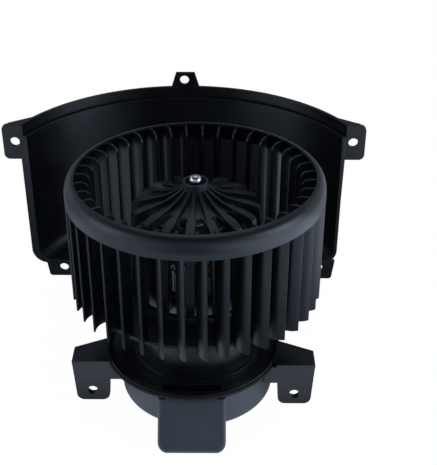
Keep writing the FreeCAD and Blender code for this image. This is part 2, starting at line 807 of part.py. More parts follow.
def hub_clip():
    """Toothed ring that grips the shaft in the hub's pocket."""
    low = hub_top - hub_pocket_depth
    ring = tube(hub_pocket_radius - 0.3, shaft_radius + PART_GAP, low, low + retainer_thick)
    for i in range(6):
        angle = math.radians(60 * i + 30)
        ring = ring.cut(rod(0.7, low - 1, low + 2, 4.9 * math.cos(angle), 4.9 * math.sin(angle)))
    return ring


def motor_shaft():
    """Plain ground shaft with a rounded upper end and a chamfered lower one."""
    low = lower_bearing_low - 0.3
    high = hub_top + shaft_proud
    shaft = rod(shaft_radius, low, high)
    shaft = shaft.makeChamfer(0.8, low_edges(shaft, low))
    return shaft.makeFillet(shaft_end_round, low_edges(shaft, high))


def motor_can():
    """Deep drawn steel can with the pocket for the lower bearing."""
    can = rod(can_radius, can_low, can_top)
    can = can.makeFillet(4.0, low_edges(can, can_low))
    boss = rod(can_boss_radius, lower_boss_low, can_low + can_wall)
    can = can.fuse(boss)
    hollow = rod(can_radius - can_wall, can_low + can_wall, can_top + 1)
    hollow = hollow.makeFillet(2.5, low_edges(hollow, can_low + can_wall))
    pocket = rod(bearing_radius + PART_GAP, lower_boss_low + boss_floor, can_top)
    return can.cut([hollow, pocket])


def bearing(low):
    """Sintered sleeve bearing with rounded rims."""
    sleeve = rod(bearing_radius, low, low + bearing_length)
    rims = [e for e in sleeve.Edges if e.BoundBox.ZMax - e.BoundBox.ZMin < 0.01]
    sleeve = sleeve.makeFillet(1.2, rims)
    return sleeve.cut(rod(shaft_radius + RUN_GAP, low - 1, low + bearing_length + 1))


def retainer(low):
    """Ring that keeps a bearing in its pocket."""
    return tube(bearing_radius, shaft_radius + 1.6, low, low + retainer_thick)


def thrust_washer(low):
    """Washer that turns with the shaft beside a bearing."""
    return tube(washer_radius, shaft_radius + PART_GAP, low, low + washer_thick)


def magnet(side):
    """One arc magnet of the stator."""
    low = core_mid - magnet_length / 2
    outer = can_radius - can_wall - PART_GAP
    ring = tube(outer, magnet_inner, low, low + magnet_length)
    half = math.radians(magnet_span / 2)
    far = 2 * outer
    keep = slab([(0, 0), (far * math.cos(half), -far * math.sin(half)), (far * 1.5, 0),
                 (far * math.cos(half), far * math.sin(half))], low - 1, low + magnet_length + 1)
    piece = ring.common(keep)
    return piece if side > 0 else spun(piece, 180)


def magnet_spring(side):
    """Bent strip that presses the two magnets apart."""
    low = core_mid - magnet_length / 2 + 4
    high = core_mid + magnet_length / 2 - 4
    outer = can_radius - can_wall - PART_GAP
    ring = tube(outer, outer - 1.0, low, high)
    half = math.radians(magnet_spring_span / 2)
    far = 2 * outer
    keep = slab([(0, 0), (far * math.cos(half), -far * math.sin(half)), (far * 1.5, 0),
                 (far * math.cos(half), far * math.sin(half))], low - 1, high + 1)
    return spun(ring.common(keep), 90 * side)


def core_slot(index, extra):
    """Cutter for one winding slot of the armature core."""
    outer = core_radius
    inner = outer - slot_depth
    wide = slot_width / 2 - extra
    slot = block(inner + extra, outer - 2.2 - extra, -wide, wide, core_low - 1, core_top + 1)
    return spun(slot, 360.0 / core_slots * index)


def armature_core():
    """Stack of steel sheets with its winding slots."""
    core = rod(core_radius, core_low, core_top)
    mouths = []
    for i in range(core_slots):
        mouth = block(core_radius - 4, core_radius + 1, -slot_mouth / 2, slot_mouth / 2,
                      core_low - 1, core_top + 1)
        mouths.append(core_slot(i, 0.0).fuse(spun(mouth, 360.0 / core_slots * i)))
    core = core.cut(mouths)
    return core.cut(rod(shaft_radius + PART_GAP, core_low - 1, core_top + 1))


def armature_windings():
    """Copper coils: bars in the slots and the rounded turns at each end."""
    clear = 0.3
    low_turns = tube(end_turn_outer, end_turn_inner, core_low - clear - end_turn_height, core_low - clear)
    top_turns = tube(end_turn_outer, end_turn_inner, core_top + clear, core_top + clear + end_turn_height)
    low_turns = low_turns.makeFillet(3.0, low_edges(low_turns, core_low - clear - end_turn_height))
    top_turns = top_turns.makeFillet(3.0, low_edges(top_turns, core_top + clear + end_turn_height))
    bars = []
    for i in range(core_slots):
        outer = min(core_radius - 2.2 - clear, end_turn_outer - 1)
        bar = block(core_radius - slot_depth + clear, outer, -slot_width / 2 + clear, slot_width / 2 - clear,
                    core_low - clear - 1, core_top + clear + 1)
        bars.append(spun(bar, 360.0 / core_slots * i))
    return low_turns.fuse([top_turns] + bars)


def commutator():
    """Copper segments on their moulded sleeve."""
    low = commutator_low
    high = low + commutator_length
    drum = rod(commutator_radius, low, high)
    riser = rod(commutator_radius + 1.6, low, low + 2.0)
    neck = rod(6.5, core_top + 1.0, low)
    drum = drum.fuse([riser, neck])
    cuts = []
    for i in range(core_slots):
        cut = block(commutator_radius - 1.2, commutator_radius + 3, -commutator_cut / 2, commutator_cut / 2,
                    low - 1, high + 1)
        cuts.append(spun(cut, 360.0 / core_slots * (i + 0.5)))
    drum = drum.cut(cuts)
    return drum.cut(rod(shaft_radius + PART_GAP, 0, high + 1))


def brush_card():
    """Moulded card on the can's rim that carries the brush gear."""
    card = rod(card_radius, can_top, card_top)
    spigot = tube(can_radius - can_wall - PART_GAP, can_radius - can_wall - 2.5, can_top - 2.5, can_top + 0.5)
    card = card.fuse(spigot)
    return card.cut(rod(card_hole, can_top - 5, card_top + 1))


def brush_holder(side):
    """Brass box that guides one brush."""
    half = brush_size / 2 + 0.1
    outer = half + holder_wall
    box = block(holder_start, holder_reach, -outer, outer, card_top, card_top + 2 * outer)
    bore = block(holder_start - 1, holder_reach - holder_wall, -half, half,
                 card_top + holder_wall, card_top + holder_wall + 2 * half)
    holder = box.cut(bore)
    return holder if side > 0 else spun(holder, 180)


def brush(side):
    """Carbon brush with its hollow running face."""
    half = brush_size / 2
    start = commutator_radius - 1
    low = card_top + holder_wall + 0.1
    body = block(start, commutator_radius + BRUSH_GAP + brush_length, -half, half, low, low + brush_size)
    body = body.cut(rod(commutator_radius + BRUSH_GAP, low - 1, low + brush_size + 1))
    return body if side > 0 else spun(body, 180)


def brush_spring(side):
    """Rolled strip spring behind a brush."""
    near = commutator_radius + BRUSH_GAP + brush_length + 0.3
    low = card_top + holder_wall + 0.4
    high = low + brush_size - 0.6
    roll = tube(brush_spring_radius, brush_spring_radius - 0.9, low, high, near + brush_spring_radius, 0)
    return roll if side > 0 else spun(roll, 180)


def choke(side):
    """Ferrite rod with its copper turns, standing on the card."""
    low = card_top
    core = rod(choke_core_radius, low, low + choke_height)
    pitch = (choke_height - 4.0) / choke_turns
    turns = []
    for i in range(choke_turns):
        z = low + 2.0 + pitch * (i + 0.5)
        turns.append(Part.makeTorus(choke_radius - pitch * 0.52, pitch * 0.52, V(0, 0, z)))
    sleeve = tube(choke_radius - 0.8, choke_core_radius - 0.2, low + 2, low + choke_height - 2)
    body = core.fuse([sleeve] + turns)
    body.translate(V(side * choke_x, side * choke_y, 0))
    return body


def capacitor():
    """Block capacitor on the card."""
    body = block(capacitor_x - capacitor_width / 2, capacitor_x + capacitor_width / 2,
                 capacitor_y - capacitor_depth / 2, capacitor_y + capacitor_depth / 2,
                 card_top, card_top + capacitor_height)
    return body.makeFillet(0.8, [e for e in body.Edges if e.CenterOfMass.z > card_top + 0.1])


def end_bracket():
    """Open bracket over the brushes that holds the upper bearing."""
    seat_inner = bracket_radius - bracket_seat_width
    seat_top = card_top + bracket_seat_height
    seat = tube(bracket_radius, seat_inner, card_top, seat_top)
    lip = tube(can_radius, card_radius + PART_GAP, can_top, seat_top)
    shell = tube(bracket_radius, seat_inner, card_top, bracket_plate_top)
    posts = []
    for i in range(4):
        bar = block(bracket_radius - 8, bracket_radius + 2, -bracket_post_half, bracket_post_half,
                    card_top, bracket_plate_top)
        posts.append(spun(bar.common(shell), 90 * i + 45))
    top = rod(bracket_radius, bracket_plate_low, bracket_plate_top)
    for i in range(4):
        outline = [(13, -3), (bracket_radius - 8, -13), (bracket_radius - 4, 0),
                   (bracket_radius - 8, 13), (13, 3)]
        window = slab(outline, bracket_plate_low - 1, bracket_plate_top + 1)
        top = top.cut(spun(window, 90 * i))
    high = upper_bearing_low + bearing_length + retainer_thick
    boss = rod(bracket_boss_radius, upper_bearing_low - boss_floor, high)
    body = seat.fuse([lip, top, boss] + posts)
    body = body.cut(rod(bearing_radius + PART_GAP, upper_bearing_low, high + 1))
    body = body.cut(rod(shaft_radius + 1.5, upper_bearing_low - boss_floor - 1, high))
    gate = block(-busbar_x - 4, busbar_x + 4, bracket_radius - 6, bracket_radius + 4,
                 can_top - 1, seat_top + 1)
    return body.cut(gate)


def rubber_ring_upper():
    """Rubber ring between the motor and the top of the sleeve."""
    high = plate_low + sleeve_height - sleeve_rim - PART_GAP
    ring = tube(sleeve_bore - PART_GAP, can_radius + PART_GAP, high - ring_rubber_height, high)
    return ring.cut(busbar_passage(0, high + 1))


def busbar_passage(low, high):
    """Cutter for the gap in the rubber rings that the two busbars pass through."""
    half = busbar_x + blade_terminal_width / 2 + 1.5
    return block(-half, half, can_radius - 4, sleeve_bore + 4, low, high)


def rubber_ring_lower():
    """Rubber seat under the motor, with a lip round the can."""
    low = rubber_base_low
    base = tube(can_radius + rubber_lip_wall, rest_ring_radius - rest_ring_wall, low, can_low)
    lip = tube(can_radius + rubber_lip_wall, can_radius + PART_GAP, low, can_low + rubber_base_lip)
    body = base.fuse(lip)
    corner = tube(can_radius + PART_GAP, can_radius - 5, can_low, can_low + 5)
    return body.cut([corner, busbar_passage(can_low, can_low + 20)])


def connector_socket():
    """Open socket at the back of the cover."""
    low = socket_centre_z - socket_height / 2 + PART_GAP
    high = socket_centre_z + socket_height / 2 - PART_GAP
    half = socket_half_width - PART_GAP
    near = cover_radius - cover_wall
    far = near + socket_reach
    shell = block(-half, half, near, far, low, high)
    shell = shell.makeFillet(2.0, [e for e in shell.Edges if abs(e.tangentAt(e.FirstParameter).y) > 0.99])
    hollow = block(-half + socket_wall, half - socket_wall, near + 4.0, far + 1,
                   low + socket_wall, high - socket_wall)
    collar = block(-half - 2.5, half + 2.5, cover_radius + 0.4, cover_radius + 2.4, low - 1.5, high + 1.5)
    body = shell.fuse(collar).cut(hollow)
    for side in (-1, 1):
        slot = busbar_slot(side)
        body = body.cut(slot)
    return body


def busbar_slot(side):
    """Cutter for the passage of one blade terminal through the socket's back wall."""
    centre = side * busbar_x
    half = blade_terminal_width / 2 + PART_GAP
    thick = busbar_thick / 2 + PART_GAP
    return block(centre - half, centre + half, cover_radius - 12, cover_radius + 6,
                 socket_centre_z - thick, socket_centre_z + thick)


def busbar(side):
    """Copper strip from the brush card down beside the can to its blade terminal."""
    centre = side * busbar_x
    half = busbar_width / 2
    near = can_radius + 0.9
    far = near + busbar_thick
    top = card_top + busbar_thick
    level = socket_centre_z - busbar_thick / 2
    on_card = block(centre - half, centre + half, card_hole + 7, far, card_top, top)
    drop = block(centre - half, centre + half, near, far, level, top)
    wide = blade_terminal_width / 2
    end = cover_radius - cover_wall + socket_reach - 5
    blade_end = block(centre - wide, centre + wide, near, end, level, level + busbar_thick)
    body = on_card.fuse([drop, blade_end])
    return body


def build():
    """Make every node and write its file."""
    os.makedirs("parts", exist_ok=True)
    export(housing(), "housing")
    export(motor_cover(), "motor_cover")
    cover_screws().exportStep("parts/cover_screws.step")
    export(fan_wheel(), "fan_wheel")
    export(hub_clip(), "hub_clip")
    export(motor_shaft(), "motor_shaft")
    export(motor_can(), "motor_can")
    export(bearing(upper_bearing_low), "upper_bearing")
    export(bearing(lower_bearing_low), "lower_bearing")
    export(retainer(upper_bearing_low + bearing_length), "upper_bearing_retainer")
    export(retainer(lower_bearing_low + bearing_length), "lower_bearing_retainer")
    upper_washer_low = upper_bearing_low + bearing_length + retainer_thick + SIDE_GAP
    export(thrust_washer(upper_washer_low), "upper_thrust_washer")
    lower_washer_low = lower_bearing_low + bearing_length + retainer_thick + SIDE_GAP
    export(thrust_washer(lower_washer_low), "lower_thrust_washer")
    export(armature_core(), "armature_core")
    export(armature_windings(), "armature_windings")
    export(commutator(), "commutator")
    export(rim_seal(), "rim_seal")
    export(brush_card(), "brush_card")
    export(capacitor(), "capacitor")
    export(end_bracket(), "end_bracket")
    export(rubber_ring_upper(), "rubber_ring_upper")
    export(rubber_ring_lower(), "rubber_ring_lower")
    export(connector_socket(), "connector_socket")
    for side, name in ((1, "right"), (-1, "left")):
        export(magnet(side), "magnet_" + name)
        export(brush_holder(side), "brush_holder_" + name)
        export(brush(side), "brush_" + name)
        export(brush_spring(side), "brush_spring_" + name)
        export(busbar(side), "busbar_" + name)
    for side, name in ((1, "rear"), (-1, "front")):
        export(magnet_spring(side), "magnet_spring_" + name)
        export(choke(side), "choke_" + name)


build()
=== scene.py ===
"""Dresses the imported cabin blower: materials, wiring and small hardware, studio light and camera.

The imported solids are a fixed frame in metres. Z is the fan axis, the floor is z = 0, and +Y is the back of the
unit. Sizes of pieces are in millimetres, and those of the studio in metres.
"""

import logging
import math
from dataclasses import dataclass, field
from enum import Enum
from typing import Sequence

import bpy
from mathutils import Matrix, Vector


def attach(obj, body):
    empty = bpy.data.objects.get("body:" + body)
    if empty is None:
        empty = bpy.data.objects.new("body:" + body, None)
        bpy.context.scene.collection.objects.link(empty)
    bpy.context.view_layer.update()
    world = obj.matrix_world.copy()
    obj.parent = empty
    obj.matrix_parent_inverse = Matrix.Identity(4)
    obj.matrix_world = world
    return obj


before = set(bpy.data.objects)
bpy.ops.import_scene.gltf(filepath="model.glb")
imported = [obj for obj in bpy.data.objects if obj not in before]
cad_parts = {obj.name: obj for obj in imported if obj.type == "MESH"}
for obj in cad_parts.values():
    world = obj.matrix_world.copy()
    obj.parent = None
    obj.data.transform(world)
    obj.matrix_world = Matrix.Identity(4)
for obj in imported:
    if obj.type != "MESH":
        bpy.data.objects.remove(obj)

LOG = logging.getLogger("blower")
MM = 0.001
FRAME_BODY = "frame"
HALF_TURN = 180.0
UP = (0.0, 0.0, 1.0)
BACK = (0.0, 1.0, 0.0)
LEFT = (-1.0, 0.0, 0.0)
SIDES = (("left", -1.0), ("right", 1.0))

# Sockets of a Mix node in colour mode: its two colours, and its result.
COLOUR_A, COLOUR_B, COLOUR_OUT = 6, 7, 2

Point = tuple[float, float, float]


def linear(code: str) -> tuple[float, float, float, float]:
    """Turn an sRGB hex colour into linear light.

    Args:
        code: Six hex digits, with or without a leading hash.

    Returns:
        Red, green, blue and an alpha of 1.
    """
    digits = code.lstrip("#")
    channels = []
    for index in (0, 2, 4):
        value = int(digits[index:index + 2], 16) / 255.0
        channels.append(value / 12.92 if value <= 0.04045 else ((value + 0.055) / 1.055) ** 2.4)
    return (channels[0], channels[1], channels[2], 1.0)


def add_node(tree: bpy.types.NodeTree, kind: str, settings: dict | None = None,
             inputs: dict | None = None) -> bpy.types.Node:
    """Add one node with its settings, and link or set its inputs.

    Args:
        tree: Node tree that gets the node.
        kind: Blender's name for the node type.
        settings: Attributes to set on the node.
        inputs: Socket name or index to a value, or to the output socket that feeds it.

    Returns:
        The new node.
    """
    node = tree.nodes.new(kind)
    for name, value in (settings or {}).items():
        setattr(node, name, value)
    for name, value in (inputs or {}).items():
        if isinstance(value, bpy.types.NodeSocket):
            tree.links.new(value, node.inputs[name])
        else:
            node.inputs[name].default_value = value
    return node


def new_tree(name: str) -> tuple[bpy.types.Material, bpy.types.NodeTree]:
    """Make an empty node material.

    Args:
        name: The material's name.

    Returns:
        The material and its node tree.
    """
    material = bpy.data.materials.new(name)
    material.use_nodes = True
    material.node_tree.nodes.clear()
    return material, material.node_tree


@dataclass(frozen=True)
class MouldedPlastic:
    """Injection moulded polypropylene, nylon or the like: its colour under a soft, slightly blue gloss.

    The grain of a real mould is finer than a pixel of the picture. It is drawn coarser, at grain_mm, so that it
    still breaks up a highlight.
    """

    name: str
    body: str
    worn: str
    roughness_low: float
    roughness_high: float
    grain_mm: float
    grain_depth_mm: float
    edge_mm: float
    specular: float
    flow_mm: float = 28.0
    colour_span: tuple[float, float] = (0.35, 0.65)
    gloss_span: tuple[float, float] = (0.3, 0.7)
    grain_strength: float = 0.6
    ior: float = 1.49
    gloss_tint: str = "#eef5ff"

    def build(self) -> bpy.types.Material:
        """Build the node material.

        Returns:
            The material.
        """
        material, tree = new_tree(self.name)
        place = add_node(tree, "ShaderNodeTexCoord")
        flow = add_node(tree, "ShaderNodeTexNoise", inputs={
            "Vector": place.outputs["Object"], "Scale": 1.0 / (self.flow_mm * MM), "Detail": 3.0,
            "Roughness": 0.55})
        grain = add_node(tree, "ShaderNodeTexNoise", inputs={
            "Vector": place.outputs["Object"], "Scale": 1.0 / (self.grain_mm * MM), "Detail": 2.0})
        tone = add_node(tree, "ShaderNodeMapRange", inputs={
            "Value": flow.outputs["Fac"], "From Min": self.colour_span[0], "From Max": self.colour_span[1]})
        colour = add_node(tree, "ShaderNodeMix", {"data_type": "RGBA"}, {
            "Factor": tone.outputs["Result"], COLOUR_A: linear(self.body), COLOUR_B: linear(self.worn)})
        rough = add_node(tree, "ShaderNodeMapRange", inputs={
            "Value": flow.outputs["Fac"], "From Min": self.gloss_span[0], "From Max": self.gloss_span[1],
            "To Min": self.roughness_low, "To Max": self.roughness_high})
        edge = add_node(tree, "ShaderNodeBevel", {"samples": 6}, {"Radius": self.edge_mm * MM})
        bump = add_node(tree, "ShaderNodeBump", inputs={
            "Height": grain.outputs["Fac"], "Distance": self.grain_depth_mm * MM,
            "Strength": self.grain_strength, "Normal": edge.outputs["Normal"]})
        shader = add_node(tree, "ShaderNodeBsdfPrincipled", inputs={
            "Base Color": colour.outputs[COLOUR_OUT], "Roughness": rough.outputs["Result"], "IOR": self.ior,
            "Specular IOR Level": self.specular, "Specular Tint": linear(self.gloss_tint),
            "Normal": bump.outputs["Normal"]})
        add_node(tree, "ShaderNodeOutputMaterial", inputs={"Surface": shader.outputs["BSDF"]})
        return material


@dataclass(frozen=True)
class Metal:
    """Bare or plated metal: its own colour in the reflection, with fine marks left by how it was made.

    Real marks are finer than a pixel of the picture. They are drawn coarser, at mark_mm along each axis.
    """

    name: str
    colour: str
    dull: str
    roughness: float
    mark_mm: tuple[float, float, float]
    mark_depth_mm: float = 0.004
    mark_strength: float = 0.5
    mark_span: tuple[float, float] = (0.3, 0.7)
    gloss_share: tuple[float, float] = (0.8, 1.25)
    stain_mm: float = 9.0
    stain_span: tuple[float, float] = (0.4, 0.7)
    edge_mm: float = 0.15

    def build(self) -> bpy.types.Material:
        """Build the node material.

        Returns:
            The material.
        """
        material, tree = new_tree(self.name)
        place = add_node(tree, "ShaderNodeTexCoord")
        stretch = add_node(tree, "ShaderNodeMapping", inputs={
            "Vector": place.outputs["Object"], "Scale": tuple(1.0 / (m * MM) for m in self.mark_mm)})
        marks = add_node(tree, "ShaderNodeTexNoise", inputs={
            "Vector": stretch.outputs["Vector"], "Scale": 1.0, "Detail": 4.0, "Roughness": 0.6})
        stain = add_node(tree, "ShaderNodeTexNoise", inputs={
            "Vector": place.outputs["Object"], "Scale": 1.0 / (self.stain_mm * MM), "Detail": 4.0})
        tone = add_node(tree, "ShaderNodeMapRange", inputs={
            "Value": stain.outputs["Fac"], "From Min": self.stain_span[0], "From Max": self.stain_span[1]})
        colour = add_node(tree, "ShaderNodeMix", {"data_type": "RGBA"}, {
            "Factor": tone.outputs["Result"], COLOUR_A: linear(self.colour), COLOUR_B: linear(self.dull)})
        rough = add_node(tree, "ShaderNodeMapRange", inputs={
            "Value": marks.outputs["Fac"], "From Min": self.mark_span[0], "From Max": self.mark_span[1],
            "To Min": self.roughness * self.gloss_share[0], "To Max": self.roughness * self.gloss_share[1]})
        edge = add_node(tree, "ShaderNodeBevel", {"samples": 4}, {"Radius": self.edge_mm * MM})
        bump = add_node(tree, "ShaderNodeBump", inputs={
            "Height": marks.outputs["Fac"], "Distance": self.mark_depth_mm * MM,
            "Strength": self.mark_strength, "Normal": edge.outputs["Normal"]})
        shader = add_node(tree, "ShaderNodeBsdfPrincipled", inputs={
            "Base Color": colour.outputs[COLOUR_OUT], "Metallic": 1.0, "Roughness": rough.outputs["Result"],
            "Normal": bump.outputs["Normal"]})
        add_node(tree, "ShaderNodeOutputMaterial", inputs={"Surface": shader.outputs["BSDF"]})
        return material


@dataclass(frozen=True)
class Sintered:
    """Pressed and fired powder, such as ferrite or carbon: dull, dark and finely pitted.

    Real grit is finer than a pixel of the picture. It is drawn coarser, at grit_mm.
    """

    name: str
    colour: str
    pit: str
    grit_mm: float
    roughness: float
    pit_span: tuple[float, float] = (0.1, 0.8)
    pit_depth_mm: float = 0.02
    pit_strength: float = 0.5

    def build(self) -> bpy.types.Material:
        """Build the node material.

        Returns:
            The material.
        """
        material, tree = new_tree(self.name)
        place = add_node(tree, "ShaderNodeTexCoord")
        grit = add_node(tree, "ShaderNodeTexVoronoi", inputs={
            "Vector": place.outputs["Object"], "Scale": 1.0 / (self.grit_mm * MM)})
        tone = add_node(tree, "ShaderNodeMapRange", inputs={
            "Value": grit.outputs["Distance"], "From Min": self.pit_span[0], "From Max": self.pit_span[1]})
        colour = add_node(tree, "ShaderNodeMix", {"data_type": "RGBA"}, {
            "Factor": tone.outputs["Result"], COLOUR_A: linear(self.colour), COLOUR_B: linear(self.pit)})
        bump = add_node(tree, "ShaderNodeBump", inputs={
            "Height": grit.outputs["Distance"], "Distance": self.pit_depth_mm * MM,
            "Strength": self.pit_strength})
        shader = add_node(tree, "ShaderNodeBsdfPrincipled", inputs={
            "Base Color": colour.outputs[COLOUR_OUT], "Roughness": self.roughness,
            "Normal": bump.outputs["Normal"]})
        add_node(tree, "ShaderNodeOutputMaterial", inputs={"Surface": shader.outputs["BSDF"]})
        return material


class PlasticGrade(Enum):
    """Plastics of the unit, each with its own finish."""

    # Polypropylene from a polished mould: near black, with wide pale reflections along its rims.
    HOUSING = MouldedPlastic("housing_polypropylene", "#0a0c0e", "#0d0f12", 0.26, 0.36, 0.9, 0.010, 0.5, 0.5)
    # Nylon: a softer black, so that every blade has a grey edge.
    WHEEL = MouldedPlastic("wheel_nylon", "#101317", "#14171b", 0.32, 0.40, 0.7, 0.005, 0.6, 0.5)
    # Filled polypropylene: an even dark grey with soft highlights.
    COVER = MouldedPlastic("cover_polypropylene", "#3d4349", "#42484f", 0.34, 0.44, 0.9, 0.010, 0.5, 0.5)
    # Glass filled nylon from a plain mould: matt black.
    CARD = MouldedPlastic("card_glass_nylon", "#101113", "#1a1b1e", 0.45, 0.6, 0.4, 0.012, 0.2, 0.5)
    # Potted polyester case: smooth grey blue.
    CASE = MouldedPlastic("capacitor_case", "#3d4a59", "#4a5766", 0.25, 0.35, 0.5, 0.004, 0.3, 0.5)
    # Natural acetal: milky white.
    WASHER = MouldedPlastic("washer_acetal", "#c9c6bb", "#d6d3c8", 0.35, 0.45, 0.5, 0.004, 0.1, 0.5)
    # Moulded black rubber: matt, with hardly a highlight.
    RUBBER = MouldedPlastic("mount_rubber", "#131313", "#1b1b1b", 0.65, 0.8, 0.5, 0.02, 0.3, 0.4)


class MetalGrade(Enum):
    """Metals of the unit, each with its own finish."""

    # Ground steel: bright, with fine rings round the shaft.
    SHAFT = Metal("ground_steel", "#d6d8dc", "#b9bcc2", 0.18, (6.0, 6.0, 0.15))
    # Zinc plated sheet steel: mid grey and slightly clouded.
    ZINC = Metal("zinc_plated_steel", "#70767d", "#5d6269", 0.38, (1.5, 1.5, 1.5))
    # Hardened steel strip: lighter grey, drawn in one direction.
    SPRING = Metal("spring_steel", "#85888d", "#6d7075", 0.28, (0.3, 4.0, 4.0))
    # Bright zinc on the screws: light grey.
    SCREW = Metal("zinc_plated_screw", "#bfc1bd", "#9fa19b", 0.3, (0.8, 0.8, 0.8))
    # Sintered bronze soaked in oil: brown, with a broken highlight.
    BRONZE = Metal("sintered_bronze", "#9c7449", "#6f5236", 0.42, (0.4, 0.4, 0.4))
    # Drawn copper: orange, with fine upright lines.
    COPPER = Metal("bare_copper", "#c98a63", "#a0694a", 0.26, (0.3, 0.3, 5.0))
    # Copper wire in enamel: red brown, with a highlight that breaks up as on single turns.
    WIRE = Metal("enamelled_copper", "#a4512b", "#7f3d20", 0.3, (0.5, 0.5, 0.5), 0.05)
    # Tinned copper wire: silver grey.
    TINNED = Metal("tinned_wire", "#c4c6c8", "#a3a5a8", 0.25, (0.4, 0.4, 0.4), 0.01)
    # Phosphated steel: dark grey and dull.
    BLACKED = Metal("phosphated_steel", "#4a4e54", "#3a3d42", 0.38, (1.0, 1.0, 1.0))
    # Pressed brass strip: yellow, rolled in one direction.
    BRASS = Metal("pressed_brass", "#c7a95e", "#a08646", 0.3, (4.0, 0.4, 0.4))
    # Stacked steel sheets in lacquer: dark grey, with the lines of their edges.
    SHEET = Metal("lacquered_sheet_steel", "#4c4e51", "#3a3c3f", 0.45, (8.0, 8.0, 0.5), 0.05)


class PowderGrade(Enum):
    """Fired powder materials of the unit."""

    # Fired ferrite: charcoal grey with fine pits.
    FERRITE = Sintered("fired_ferrite", "#2a2b2e", "#1d1e20", 0.5, 0.62)
    # Pressed carbon: black with a faint graphite shine.
    CARBON = Sintered("pressed_carbon", "#1c1c1d", "#2b2b2c", 0.3, 0.5)


Grade = PlasticGrade | MetalGrade | PowderGrade


@dataclass
class Paint:
    """Builds each finish once and puts it on nodes and pieces."""

    built: dict[str, bpy.types.Material] = field(default_factory=dict)

    def of(self, grade: Grade) -> bpy.types.Material:
        """Give the material of a grade, which is built at its first use.

        Args:
            grade: The wanted finish.

        Returns:
            Its material.
        """
        name = grade.value.name
        if name not in self.built:
            self.built[name] = grade.value.build()
        return self.built[name]

    def cover(self, piece: bpy.types.Object, grade: Grade) -> None:
        """Put a grade on every slot of a piece.

        Args:
            piece: Mesh object, a frame node or a new piece.
            grade: The finish that it gets.
        """
        material = self.of(grade)
        if not piece.data.materials:
            piece.data.materials.append(material)
        for slot in piece.material_slots:
            slot.material = material


@dataclass
class FrameNodes:
    """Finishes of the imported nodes, whose shapes stay as they are."""

    grades: dict[str, Grade] = field(default_factory=lambda: {
        "housing": PlasticGrade.HOUSING,
        "motor_cover": PlasticGrade.COVER,
        "cover_screws": MetalGrade.SCREW,
        "fan_wheel": PlasticGrade.WHEEL,
        "hub_clip": MetalGrade.SPRING,
        "motor_shaft": MetalGrade.SHAFT,
        "motor_can": MetalGrade.ZINC,
        "upper_bearing": MetalGrade.BRONZE,
        "lower_bearing": MetalGrade.BRONZE,
        "upper_bearing_retainer": MetalGrade.ZINC,
        "lower_bearing_retainer": MetalGrade.ZINC,
        "upper_thrust_washer": PlasticGrade.WASHER,
        "lower_thrust_washer": PlasticGrade.WASHER,
        "armature_core": MetalGrade.SHEET,
        "armature_windings": MetalGrade.WIRE,
        "commutator": MetalGrade.COPPER,
        "brush_card": PlasticGrade.CARD,
        "capacitor": PlasticGrade.CASE,
        "end_bracket": MetalGrade.BLACKED,
        "rubber_ring_upper": PlasticGrade.RUBBER,
        "rubber_ring_lower": PlasticGrade.RUBBER,
        # The rim seal's black rubber is partly painted shade: a dark band round under the dish's rim, where the
        # gap lies in shade.
        "rim_seal": PlasticGrade.RUBBER,
        "connector_socket": PlasticGrade.CARD,
        "magnet_left": PowderGrade.FERRITE,
        "magnet_right": PowderGrade.FERRITE,
        "magnet_spring_front": MetalGrade.SPRING,
        "magnet_spring_rear": MetalGrade.SPRING,
        "brush_holder_left": MetalGrade.BRASS,
        "brush_holder_right": MetalGrade.BRASS,
        "brush_left": PowderGrade.CARBON,
        "brush_right": PowderGrade.CARBON,
        "brush_spring_left": MetalGrade.SPRING,
        "brush_spring_right": MetalGrade.SPRING,
        "busbar_left": MetalGrade.COPPER,
        "busbar_right": MetalGrade.COPPER,
        "choke_front": MetalGrade.TINNED,
        "choke_rear": MetalGrade.TINNED,
    })

    def dress(self, paint: Paint) -> None:
        """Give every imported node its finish.

        Args:
            paint: The finishes.
        """
        for name, grade in self.grades.items():
            paint.cover(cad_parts[name], grade)
            LOG.info("finish on %s: %s", name, grade.value.name)


